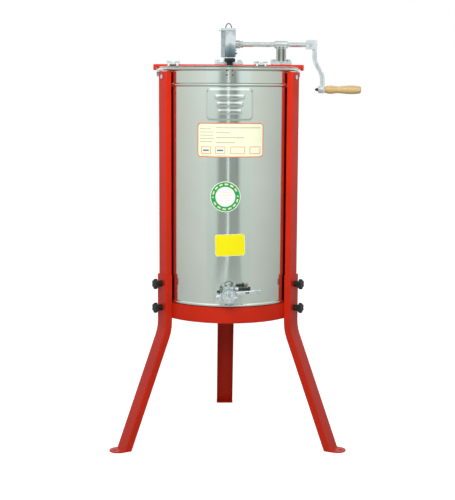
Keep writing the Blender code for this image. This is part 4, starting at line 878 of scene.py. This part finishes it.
# Stand
knob = {
    "neck": 0.0085, "neckLength": 0.013, "head": 0.0105, "tip": 0.0143, "valley": 0.0112,
    "lobes": 6, "stud": 0.004, "sides": 96, "legStud": 0.0142, "lidStud": 0.008,
}
bolt = {
    "legAcross": 0.0112, "legHead": 0.0026, "legDrop": 0.0138, "legTilt": 0.3,
    "sideAcross": 0.013, "sideHead": 0.0083, "sideDrop": 0.0174, "sideTilt": 0.1, "washer": 0.0012,
    "colour": (0.50, 0.61, 0.63),
}


def lobedRing(shrink, height):
    ring = []
    for i in range(knob["sides"]):
        turn = 2 * math.pi * i / knob["sides"]
        share = ((1 + math.cos(knob["lobes"] * turn)) / 2) ** 0.55
        radius = knob["valley"] + (knob["tip"] - knob["valley"]) * share - shrink
        ring.append((radius * math.cos(turn), radius * math.sin(turn), height))
    return ring


def starKnob(stud):
    # a stud, a round neck, and a lobed head with soft edges and a shallow round hollow
    neck, base, top = knob["neck"], knob["neckLength"], knob["neckLength"] + knob["head"]
    below = (
        (knob["stud"], -stud), (knob["stud"], 0.0001), (neck - 0.0005, 0.0001),
        (neck, 0.0007), (neck - 0.0004, base - 0.001), (neck + 0.0006, base),
    )
    lobes = ((0.0035, base), (0.0012, base + 0.0007), (0.0001, base + 0.002))
    lobes += ((0, top - 0.0027), (0.0007, top - 0.0013), (0.002, top - 0.0004), (0.0036, top))
    rings = [around(*place, knob["sides"]) for place in below] + [lobedRing(*place) for place in lobes]
    return skin(rings + [around(0.0062, top, knob["sides"]), around(0.0058, top - 0.0008, knob["sides"])])


def makeLegKnobs():
    for leg, turn in legTurns.items():
        for level in ("upper", "lower"):
            node = f"leg_knob_{leg}_{level}"
            low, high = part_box(node)
            outline = [vertex.co - axis for vertex in frame["nodes"][node].data.vertices]
            reach = max(point.x * math.cos(turn) + point.y * math.sin(turn) for point in outline)
            shape = alongX(starKnob(knob["legStud"]), 0, (low.z + high.z) / 2)
            seat = at(reach - knob["neckLength"] - knob["head"], 0, 0)
            shape = shifted(shape, seat, spun(turn, "Z"), toAxis)
            solid(f"starKnob_{leg}_{level}", shape, f"{leg}_{level}_knob", "black_plastic", (node,))


def makeLidKnobs():
    for side in ("front", "rear"):
        low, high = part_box(f"lid_knob_{side}")
        place = at((low.x + high.x) / 2, (low.y + high.y) / 2, high.z - knob["neckLength"] - knob["head"])
        shape = shifted(starKnob(knob["lidStud"]), place)
        solid(f"lidStarKnob_{side}", shape, f"{side}_lid", "black_plastic", (f"lid_knob_{side}",))


def outward(head, tilt, reach, height, turn):
    # stands a head on the drum or a leg, pointing away from the drum's axis
    return shifted(head, spun(tilt, "Z"), spun(quarter, "Y"), at(reach, 0, height), spun(turn, "Z"), toAxis)


def makeBolts():
    # one through each leg's top, and one through the drum at each end of the bar
    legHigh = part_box("leg_upper_rear")[1]
    reach, height = legHigh.y - axis.y, legHigh.z - bolt["legDrop"]
    heads = []
    for turn in legTurns.values():
        head = hexHead(bolt["legAcross"], bolt["legHead"])
        heads.append(outward(head, bolt["legTilt"], reach, height, turn))
    reach, height = drum["radius"] + bolt["washer"], drumHigh.z - bolt["sideDrop"]
    for turn in (0, math.pi):
        head = hexHead(bolt["sideAcross"], bolt["sideHead"], bolt["washer"])
        heads.append(outward(head, bolt["sideTilt"], reach, height, turn))
    plating = plainMetal("boltZinc", bolt["colour"], 0.24)
    solid("standBolts", merged(*heads), "frame", "zinc_steel", finish=plating)


# Hinges, and the small screws of the gear case
hinge = {
    "away": 0.0395, "seat": 0.0015, "nutOut": 0.0115, "across": 0.0072, "height": 0.0088,
    "blockHalf": 0.0065, "blockDepth": 0.007, "blockHeight": 0.0048,
}


def acornNut(across, height):
    # a hexagon with a domed cap, standing on Z = 0
    half, wall = across / 2, height * 0.5
    rings = [hexRing(half, 0, 1.12), hexRing(half, wall * 0.85, 1.12), hexRing(half, wall)]
    for i in range(1, 6):
        turn = quarter * i / 6
        rings.append(around(half * 0.92 * math.cos(turn), wall + (height - wall) * math.sin(turn)))
    return skin(rings + [[(0, 0, height)]])


def makeHingeNuts():
    # two nuts on each hinge's leaf, and between them a black block that stands for the shade under the leaf
    half, depth, seat = hinge["blockHalf"], hinge["blockDepth"] / 2, lidTop + hinge["seat"]
    for side, sign in (("front", -1), ("rear", 1)):
        y = axis.y + sign * hinge["away"]
        nuts, blocks = [], []
        for where in ("left", "right"):
            low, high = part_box(f"hinge_{side}_{where}")
            x = (low.x + high.x) / 2
            for out in (-hinge["nutOut"], hinge["nutOut"]):
                nuts.append(shifted(acornNut(hinge["across"], hinge["height"]), at(x + out, y, seat)))
            top = seat + hinge["blockHeight"]
            blocks.append(box((x - half, y - depth, seat), (x + half, y + depth, top), 0.0012, 2))
        solid(f"hingeNuts_{side}", merged(*nuts), f"{side}_lid", "zinc_steel")
        solid(f"hingeShadeBlock_{side}", merged(*blocks), f"{side}_lid", "black_rubber")


caseScrew = {
    "pin": (0.0019, 0.0055, 0.0062, 20), "pinBack": -0.022, "pinUp": 0.0012, "pinIn": 0.0008,
    "stud": (0.0021, 0.0036, 0.0045, 20), "studUp": 0.0095,
    "nut": (0.0070, 0.0042), "nutUp": 0.0195, "back": -0.020, "sunk": 0.0002,
}


def makeCaseScrews():
    # a pin in the case's lid, and a nut and a stud in its right side
    s = caseScrew
    caseLow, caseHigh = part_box("gearbox_case")
    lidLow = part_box("gearbox_lid")[0]
    middle, side = (caseLow.y + caseHigh.y) / 2, caseHigh.x - s["sunk"]
    place = at(lidLow.x + s["pinIn"], middle + s["pinBack"], lidLow.z + s["pinUp"])
    pin = shifted(peg(*s["pin"]), spun(-quarter, "Y"), place)
    place = at(side, middle + s["back"], caseLow.z + s["nutUp"])
    nut = shifted(hexHead(*s["nut"]), spun(quarter, "Y"), place)
    solid("caseScrews", merged(pin, nut), "frame", "zinc_steel")
    place = at(side, middle + s["back"], caseLow.z + s["studUp"])
    stud = shifted(peg(*s["stud"]), spun(quarter, "Y"), place)
    solid("caseStud", stud, "frame", "dark_steel", finish=rusted)


# Honey gate
gateLow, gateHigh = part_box("gate_nut")
gate = {
    "outlet": (gateLow.z + gateHigh.z) / 2, "drop": 0.0165, "face": 0.227,
    "hexAcross": 0.0325, "hexThick": 0.0060, "hexOut": 0.1897, "earThick": 0.0044, "earOut": 0.2223,
    "radius": 0.0207, "rimWidth": 0.0021, "back": 0.0003, "front": 0.0040,
    "pivotX": -0.0295, "pivotDrop": 0.001, "earLength": 0.0125, "lug": 0.0088,
    "thumbY": 0.215, "thumbZ": 0.452, "boss": (0.0062, 0.0085, 0.0095, 24), "bossX": 0.0150,
    "gasket": ((0.0158, 0), (0.0172, 0), (0.0172, 0.0019), (0.0158, 0.0019)), "gasketOut": 0.1876,
    "boltOut": 0.2313, "shank": ((0.0032, -0.0150), (0.0032, 0.0002)),
    "cap": ((0.0042, 0), (0.0044, 0.0042), (0.0038, 0.0050), (0, 0.0050)), "capAt": (0.0018, -0.2226, 0.0098),
    # half across, half up, corner and thickness
    "pad": (0.0100, 0.0112, 0.0042, 0.0026), "stop": (0.0044, 0.0026, 0.0015, 0.0030),
    "pin": (0.0052, 0.0017, 0.0013, 0.0022),
    # how far out, the radius, and how far below the outlet
    "pipe": (
        (0.1740, 0.0155, 0), (0.1895, 0.0155, 0), (0.1950, 0.0152, 0), (0.2000, 0.0153, 0.0012),
        (0.2050, 0.0157, 0.0042), (0.2100, 0.0163, 0.0083), (0.2150, 0.0174, 0.0125),
        (0.2190, 0.0188, 0.0152), (0.2215, 0.0203, 0.0164), (0.2228, 0.0208, 0.0165),
        (0.2262, 0.0208, 0.0165), (0.2268, 0.0202, 0.0165), (0.2268, 0.0146, 0.0165),
        (0.2190, 0.0136, 0.0152), (0.2100, 0.0126, 0.0083), (0.2000, 0.0121, 0.0012), (0.1740, 0.0120, 0),
    ),
    # painted shade on the neck, where the nut's facets fall in shadow: across, height and radius
    "shadeMarks": ((0.0070, 0.4615, 0.0062), (-0.0082, 0.4600, 0.0040)), "stainAndShade": (0.10, 0.16, 0.19, 1),
    "discGrooves": ((0.0207, 0.0011, 0.8), (0.0177, 0.0009, 0.6), (0.0112, 0.0008, 0.25)),
    "boltGrooves": ((0.0066, 0.0008, 0.8), (0.0018, 0.0006, 0.5)),
    "boltHead": (
        (0.0066, 0), (0.0066, 0.0010), (0.0060, 0.0026), (0.0042, 0.0038), (0.0020, 0.0042),
        (0.0016, 0.0035), (0, 0.0035),
    ),
}
lever = {
    "from": 0.0175, "to": 0.0820, "up": 0.0080, "rise": 0.0038,
    "half": 0.0046, "wider": 0.0018, "thick": 0.0018,
}
mouth = gate["outlet"] - gate["drop"]
pivot = mouth - gate["pivotDrop"]


def neckShade(f, tone):
    # painted shade on the gate's neck, where the nut's facets fall in shadow
    dirt = 0
    for x, z, radius in gate["shadeMarks"]:
        dirt = dirt + (1.6 - 1.6 * f.far(axis.x + x, z) / radius).most(0).least(0.85)
    return f.blend(dirt.least(1), tone, gate["stainAndShade"])


def pillow(halfX, halfZ, corner, thick):
    # a rounded rectangle with a soft upper edge, standing on Z = 0
    rings = []
    for rise, shrink in ((0, 0), (thick * 0.55, 0), (thick * 0.85, 0.0003), (thick, 0.0011)):
        ring = []
        for number, (x, y) in enumerate(((1, 1), (-1, 1), (-1, -1), (1, -1))):
            centre = (x * (halfX - corner), y * (halfZ - corner))
            curve = bend(centre, corner - shrink, 90 * number, 90 * number + 90, 5)
            ring += [(*point, rise) for point in curve]
        rings.append(ring)
    return skin(rings)


def earPlate(half, thick):
    # a flat ear with a round left end, standing on Z = 0, its eye at (0, 0)
    outline = bend((0, 0), half, 90, 270, 14) + [(gate["earLength"], -half), (gate["earLength"], half)]
    rings = []
    for rise, shrink in ((0, 0), (thick - 0.0006, 0), (thick - 0.0001, 0.0003), (thick, 0.0008)):
        rings.append([(x + shrink * (x < 0.001), y * (1 - shrink / half), rise) for x, y in outline])
    return skin(rings)


def toGate(bm, x, z, out):
    # flat work (across, up, out) goes to the front of the gate
    flat = Matrix(((1, 0, 0, 0), (0, 0, -1, 0), (0, 1, 0, 0), (0, 0, 0, 1)))
    return shifted(bm, at(x, z, out), flat, toAxis)


def makeGateBody():
    rings = []
    for reach, radius, drop in gate["pipe"]:
        rings.append([(x, -reach, gate["outlet"] - drop + y) for x, y, _ in around(radius, 0)])
    pipe = shifted(skin(rings, closed=True), toAxis)
    half, thick = gate["hexAcross"] / 2, gate["hexThick"]
    nut = skin([hexRing(half, 0, 1.1), hexRing(half, thick * 0.8, 1.1), hexRing(half, thick)])
    nut = toGate(nut, 0, gate["outlet"], gate["hexOut"])
    ear = toGate(earPlate(gate["lug"], gate["earThick"]), gate["pivotX"], pivot, gate["earOut"])
    place = at(gate["bossX"], -gate["thumbY"], gate["thumbZ"])
    boss = shifted(peg(*gate["boss"]), spun(quarter, "Y"), place, toAxis)
    gasket = toGate(turned(gate["gasket"], 40, closed=True), 0, gate["outlet"], gate["gasketOut"])
    solid("gateSeal", gasket, "frame", "black_rubber", ("gate_gasket",))
    cast = dullCasting("gateCast", (0.50, 0.57, 0.59), (0.74, 0.82, 0.84), 0.20, neckShade)
    solid("gateCasting", merged(pipe, nut, ear, boss), "frame", "zinc_steel", ("gate_body",), cast)


def leverStrip():
    # a thin strip that rises a little and ends square
    shape = []
    for i in range(13):
        along = i / 12
        x = lever["from"] + (lever["to"] - lever["from"]) * along
        z = mouth + lever["up"] + lever["rise"] * eased(along * 1.3)
        half, thick = lever["half"] + lever["wider"] * eased((along - 0.45) * 2), lever["thick"]
        low, top = z - half, z + half
        edge = [(x, low, 0), (x, top, 0), (x, top, thick - 0.0008)]
        shape.append(edge + [(x, top - 0.0018, thick), (x, low + 0.0003, thick)])
    return skin(shape)


def makeShutter():
    radius, face, back, front = gate["radius"], gate["face"], gate["back"], gate["front"]
    hollow = radius - gate["rimWidth"]
    profile = [
        (0, back), (radius - 0.0004, back), (radius, back + 0.0005),
        (radius, front - 0.0006), (radius - 0.0005, front), (hollow, front),
        (hollow - 0.0006, front - 0.0011), (0, front - 0.0011),
    ]
    dish = toGate(turned(profile, 72), 0, mouth, face)
    pad = toGate(pillow(*gate["pad"]), -0.0004, mouth + 0.0006, face + front - 0.0012)
    ear = toGate(earPlate(gate["lug"] - 0.0006, front - back - 0.0002), gate["pivotX"], pivot, face + back)
    strip = toGate(leverStrip(), 0, 0, face + back)
    stop = shifted(pillow(*gate["stop"]), spun(math.radians(-17), "X"))
    stop = toGate(stop, 0.0185, mouth - 0.0030, face + front - 0.0016)
    pin = toGate(pillow(*gate["pin"]), 0.0480, mouth + 0.0105, face + back + lever["thick"] - 0.0003)
    plating = platedFinish("discPlate", (axis.x, mouth), gate["discGrooves"])
    whole = merged(dish, pad, ear, strip, stop)
    solid("gateShutter", whole, "gate", "zinc_steel", ("gate_shutter",), plating)
    solid("leverPin", pin, "gate", "dark_steel")


def makeGateBolts():
    whole = merged(turned(gate["boltHead"], 32), turned(gate["shank"], 20))
    whole = toGate(whole, gate["pivotX"], pivot, gate["boltOut"])
    plating = platedFinish("boltPlate", (axis.x + gate["pivotX"], pivot), gate["boltGrooves"])
    solid("gatePivot", whole, "frame", "zinc_steel", ("gate_pivot_bolt",), plating)
    x, y, z = gate["capAt"]
    cap = shifted(turned(gate["cap"], 24), at(gate["pivotX"] + x, y, mouth + z), toAxis)
    solid("gateCap", cap, "frame", "dark_steel")


# Basket
screen = {"border": 0.010, "rail": 0.0065, "pitch": 0.0092, "wire": 0.00075, "rails": 3, "inset": 0.003}


def makeScreens():
    # welded wire between flat bars, in place of the plain stamped sheets
    border, half, radius, inset = screen["border"], screen["rail"] / 2, screen["wire"], screen["inset"]
    for side in ("front", "rear"):
        node = f"basket_screen_{side}"
        low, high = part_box(node)
        middle = (low.y + high.y) / 2
        bars = [
            box(low, (low.x + border, high.y, high.z), 0.0004),
            box((high.x - border, low.y, low.z), high, 0.0004),
            box(low, (high.x, high.y, low.z + border), 0.0004),
            box((low.x, low.y, high.z - border), high, 0.0004),
        ]
        for i in range(1, screen["rails"] + 1):
            z = low.z + (high.z - low.z) * i / (screen["rails"] + 1)
            bars.append(box((low.x, low.y, z - half), (high.x, middle - radius, z + half), 0.0003))
        wires = []
        columns = round((high.x - low.x) / screen["pitch"])
        rows = round((high.z - low.z) / screen["pitch"])
        for i in range(1, columns):
            x = low.x + (high.x - low.x) * i / columns
            wire = rod(radius, low.z + inset, high.z - inset, 6)
            wires.append(shifted(wire, at(x, middle + radius * 0.8, 0)))
        for i in range(1, rows):
            z = low.z + (high.z - low.z) * i / rows
            wires.append(alongX(rod(radius, low.x + inset, high.x - inset, 6), middle - radius * 0.6, z))
        solid(f"wireScreen_{side}", merged(*bars, *wires), "basket", "stainless", (node,))


# Wooden grip
grip = {
    "length": 0.1003,
    "radius": 0.0119,
    "along": (0.0, 0.02, 0.09, 0.18, 0.27, 0.35, 0.46, 0.60, 0.74, 0.86, 0.95, 0.985, 1.0),
    "across": (0.60, 0.74, 0.90, 0.965, 0.87, 0.80, 0.86, 0.96, 1.0, 0.965, 0.88, 0.80, 0.66),
    "spindle": 0.0045,
    "steps": 60,
}


def smoothLine(places, values, along):
    # a curve through the values, without overshoot at the ends
    for i in range(len(places) - 1):
        if along <= places[i + 1]:
            break
    before = max(i - 1, 0)
    after = min(i + 2, len(places) - 1)
    span = places[i + 1] - places[i]
    share = (along - places[i]) / span
    slopeIn = (values[i + 1] - values[before]) / (places[i + 1] - places[before]) * span
    slopeOut = (values[after] - values[i]) / (places[after] - places[i]) * span
    s2, s3 = share * share, share**3
    line = values[i] * (2 * s3 - 3 * s2 + 1) + values[i + 1] * (3 * s2 - 2 * s3)
    return line + slopeIn * (s3 - 2 * s2 + share) + slopeOut * (s3 - s2)


def makeGrip():
    low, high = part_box("grip")
    profile = [(grip["spindle"], low.x + 0.0002)]
    for i in range(grip["steps"] + 1):
        along = i / grip["steps"]
        radius = grip["radius"] * smoothLine(grip["along"], grip["across"], along)
        profile.append((radius, low.x + grip["length"] * along))
    profile.append((0, high.x))
    shape = alongX(turned(profile, 64), (low.y + high.y) / 2, (low.z + high.z) / 2)
    solid("turnedGrip", shape, "crank_grip", "turned_wood", ("grip",), sharp=45)


makeDrum()
makeHoop()
makeCard()
makeDisc()
makePatch()
makePressing()
makeRivets()
print("drum and hoop made")

# CAD pieces whose edges are broken: how wide, and a finish of their own where they have one
oiled = plainMetal("oiledSteel", (0.58, 0.61, 0.59), 0.12)
lidSheet = sheetFinish("lidSheet", barrels=lidTop + 0.0018)
cover, arm = (0.50, 0.58, 0.60), (0.86, 0.89, 0.87)
dullCover = dullCasting("dullCover", tinted(cover, 0.72), tinted(cover, 1.08), 0.22)
dullArm = dullCasting("armCast", tinted(arm, 0.72), tinted(arm, 1.08), 0.24)
dullColumn = dullCasting("dullSupport", (0.52, 0.57, 0.56), (0.80, 0.86, 0.86), 0.22, columnShade)
softPieces = {
    "crossbar": (0.0008, None),
    "gearbox_case": (0.0012, caseFinish()),
    "gearbox_cover": (0.0012, dullCover),
    "gearbox_base": (0.0008, None),
    "gearbox_lid": (0.0005, eyeFinish()),
    "crank_support": (0.0009, dullColumn),
    "crank_arm": (0.0012, dullArm),
    "crank_bush": (0.0006, oiled),
    "shaft_collar": (0.0005, oiled),
    "lid_front": (0.0004, lidSheet),
    "lid_rear": (0.0004, lidSheet),
    "gate_thumb_screw": (0.0004, None),
    "basket_bottom_frame": (0.0004, None),
    "basket_top_frame": (0.0004, None),
    "basket_guide_front": (0.0004, None),
    "basket_guide_rear": (0.0004, None),
}
for leg in legTurns:
    softPieces[f"leg_upper_{leg}"] = (0.0008, None)
    softPieces[f"leg_lower_{leg}"] = (0.0009, None)
for node, (width, finish) in softPieces.items():
    softened(node, width, finish)
bright = brightZinc()
for side in ("front_left", "front_right", "rear_left", "rear_right"):
    frame["nodes"]["hinge_" + side].data.materials[0] = bright
makeLegKnobs()
makeLidKnobs()
makeBolts()
makeHingeNuts()
makeCaseScrews()
print("stand, lids and drive made")

makeGateBody()
makeShutter()
makeGateBolts()
makeScreens()
makeGrip()
print("gate, basket and grip made")


# Camera, floor and light
photo = {
    "distance": 3.178, "height": 0.960, "pitch": 7.762, "turn": 1.2, "roll": 0.304,
    "focal": 1144.0, "pixels": 500,
}
room = {
    "ambient": 0.42, "mirror": 0.76, "back": 0.21, "right": 0.085, "darkest": 0.3, "whiteFrom": 0.32,
    "horizon": 1.10, "above": 0.13, "sky": 0.45, "dimFrom": 0.16,
    "soft": 1.6, "softUp": 0.62, "softHalf": 0.24, "aside": 0.40, "asideFrom": 0.35,
}
floor = {"colour": (0.46, 0.46, 0.46, 1), "glow": 0.86, "dim": 0.72, "near": 0.45, "far": 1.7, "fall": 0.58}
mirrorCard = {
    "corners": ((-1.7, -0.2), (1.7, -0.2), (1.7, 3.2), (-1.7, 3.2)), "away": 2.4, "across": (-0.89, 0.86),
    "grey": 0.47, "greyAbove": 0.90, "aboveFrom": 1.12, "rim": 0.90, "pale": 0.26, "paleTop": 0.13,
    "soft": 0.30,
    "spread": 0.20, "pinch": 0.11, "foot": 0.28, "leanFrom": 0.25,
    "slot": 1.45, "slotAt": -0.04, "slotHalf": 0.062, "slotLean": 0.38,
    "shade": 0.10, "shadeOff": 0.16, "shadeHalf": 0.06,
    "seam": 0.38, "seamAt": 0.60, "seamLean": 0.40, "seamHalf": 0.06,
}
white = (1, 1, 1, 1)


def makeCamera():
    data = bpy.data.cameras.new("photoCamera")
    data.sensor_fit = "AUTO"
    data.sensor_width = 36
    data.lens = photo["focal"] / photo["pixels"] * data.sensor_width
    data.clip_end = 100
    camera = linked("photoCamera", data)
    turn = math.radians(photo["turn"])
    back = Vector((-math.sin(turn), -math.cos(turn), 0)) * photo["distance"]
    aim = spun(-turn, "Z") @ spun(math.radians(90 - photo["pitch"]), "X")
    aim = aim @ spun(math.radians(photo["roll"]), "Z")
    camera.matrix_world = at(*(axis + back + Vector((0, 0, photo["height"])))) @ aim
    bpy.context.scene.camera = camera


def makeFloor():
    bm = bmesh.new()
    bmesh.ops.create_grid(bm, x_segments=1, y_segments=1, size=30)
    made = linked("studioFloor", meshOf("studioFloor", bm))
    f = Finish("paleFloor")
    f.surface(baseColor=floor["colour"], roughness=0.9)
    # the camera sees it white, with the object's shadow kept, and mirrors see it as they see the studio
    path = f.node("LightPath", {}, {})
    glow = f.node("Emission", {}, {"Color": white, "Strength": floor["glow"]})
    added = f.node("AddShader", {}, {0: f.shader.outputs[0], 1: glow.outputs[0]})
    across, along, _ = f.spot()
    right, back = across - axis.x, along - axis.y
    far = (right * right + back * back + 0.04) ** 0.5
    # painted shade: mirrors see the floor dimmer near the object
    light = floor["dim"] + (1 - floor["dim"]) * far.climb(floor["near"], floor["far"] - floor["near"])
    slope = (room["horizon"] - floor["fall"] / far).most(0.8)
    level = roomLevel(right / far, back / far) * light * slope
    mirrored = f.node("Emission", {}, {"Color": white, "Strength": level})
    parts = {0: path.outputs["Is Camera Ray"], 1: f.shader.outputs[0], 2: added.outputs[0]}
    seen = f.node("MixShader", {}, parts)
    parts = {0: path.outputs["Is Glossy Ray"], 1: seen.outputs[0], 2: mirrored.outputs[0]}
    made.data.materials.append(f.show(f.node("MixShader", {}, parts)))


def roomLevel(right, back):
    # what bright metal sees of the studio's walls: palest in front, dimmer beside, and white far behind
    level = room["mirror"] - room["back"] * back - room["right"] * right.most(0)
    level = level.least(1).most(room["darkest"])
    return level + back.climb(room["whiteFrom"], 0.3) * (1 - level)


def skyLevel(level, right, back, up):
    # above the walls the studio is dim, but for a wide soft light over the camera
    front = (0.2 - back).climb(0, 0.25)
    dim = up.climb(room["dimFrom"], 0.3) * front
    soft = (1.35 - abs(up - room["softUp"]) / room["softHalf"]).share() * front
    high = up.climb(0, 0.02) * room["above"] + room["horizon"]
    aside = abs(right).climb(room["asideFrom"], 0.4) * up.climb(0.05, 0.1) * front
    light = level * high * (1 - dim * (1 - room["sky"])) + room["soft"] * soft
    return light * (1 - room["aside"] * aside)


def makeWorld():
    world = bpy.data.worlds.new("studio")
    world.use_nodes = True
    bpy.context.scene.world = world
    f = Finish("studio", world.node_tree)
    path = f.node("LightPath", {}, {})
    camera, mirror = Value(f, path.outputs["Is Camera Ray"]), Value(f, path.outputs["Is Glossy Ray"])
    right, back, up = f.spot("Generated")
    seen = skyLevel(roomLevel(right, back), right, back, up)
    strength = camera + (1 - camera) * (mirror * seen + (1 - mirror) * room["ambient"])
    f.feed(f.tree.nodes["Background"].inputs["Color"], white)
    f.feed(f.tree.nodes["Background"].inputs["Strength"], strength)


def makeMirrorCard():
    # a grey card with a lit slot, seen only in the bright metal
    c = mirrorCard
    bm = bmesh.new()
    bm.faces.new([bm.verts.new((axis.x + x, axis.y - c["away"], z)) for x, z in c["corners"]])
    made = linked("greyCard", meshOf("greyCard", bm))
    made.visible_camera = made.visible_diffuse = made.visible_shadow = False
    made.visible_transmission = made.visible_volume_scatter = False
    f = Finish("greyCard")
    across, _, z = f.spot()
    x = across - axis.x
    low, high = c["across"]
    # near the floor the slot leans to the left and the card spreads
    foot = ((c["leanFrom"] - z) / 0.165).most(0)
    off = x - (c["slotAt"] - c["slotLean"] * foot * foot)
    spread = c["spread"] * foot * foot - c["pinch"] * z.climb(0.9, 0.12)
    slot = (1.5 - 1.5 * abs(off) / c["slotHalf"]).share()
    # a dark seam near the card's right edge, which leans out towards the floor, and one at its left
    seamAt = c["seamAt"] + c["seamLean"] * (c["seamAt"] - z) + spread * 0.35
    left = (x + spread).peak(low + c["seamHalf"] * 4, c["seamHalf"]) * (0.9 - z).share()
    seams = x.peak(seamAt, c["seamHalf"]) + 0.6 * left
    # soft towards both edges, and paler with height
    edge = (high + spread - x).least(x - low + spread).climb(0, c["soft"])
    dark = c["grey"] + z.climb(c["aboveFrom"], 0.12) * (c["greyAbove"] - c["grey"])
    dark = dark + c["foot"] * (0.35 - z).most(0)
    pale = 1 + c["pale"] * (z - 0.45) + c["paleTop"] * z.climb(0.96, 0.07)
    grey = dark + (1 - edge) * (c["rim"] * pale - dark)
    grey = grey - c["shade"] * off.peak(c["shadeOff"], c["shadeHalf"])
    grey = (grey - c["seam"] * seams).most(0.02) + c["slot"] * slot * (1 + foot.least(1) * 0.6)
    tint = f.blend((slot + z.climb(0.55, 0.5)).least(1), (0.93, 1.0, 0.99, 1), (0.94, 1.0, 1.04, 1))
    made.data.materials.append(f.show(f.node("Emission", {}, {"Color": tint, "Strength": grey})))


def makeLamp(name, place, aim, size, power):
    data = bpy.data.lights.new(name, "AREA")
    data.shape = "RECTANGLE"
    data.size, data.size_y = size
    data.energy = power
    lamp = linked(name, data)
    lamp.location = axis + Vector(place)
    lamp.rotation_euler = (Vector(aim) - Vector(place)).to_track_quat("-Z", "Y").to_euler()
    lamp.visible_glossy = False


makeCamera()
makeFloor()
makeWorld()
makeMirrorCard()
makeLamp("frontLamp", (-0.32, -2.6, 1.9), (0, 0, 0.85), (1.8, 1.4), 64)
makeLamp("topLamp", (0.3, -0.6, 3.2), (0, 0, 0.8), (1.8, 1.8), 14)
bpy.context.scene.view_settings.view_transform = "Standard"

print("scene made")
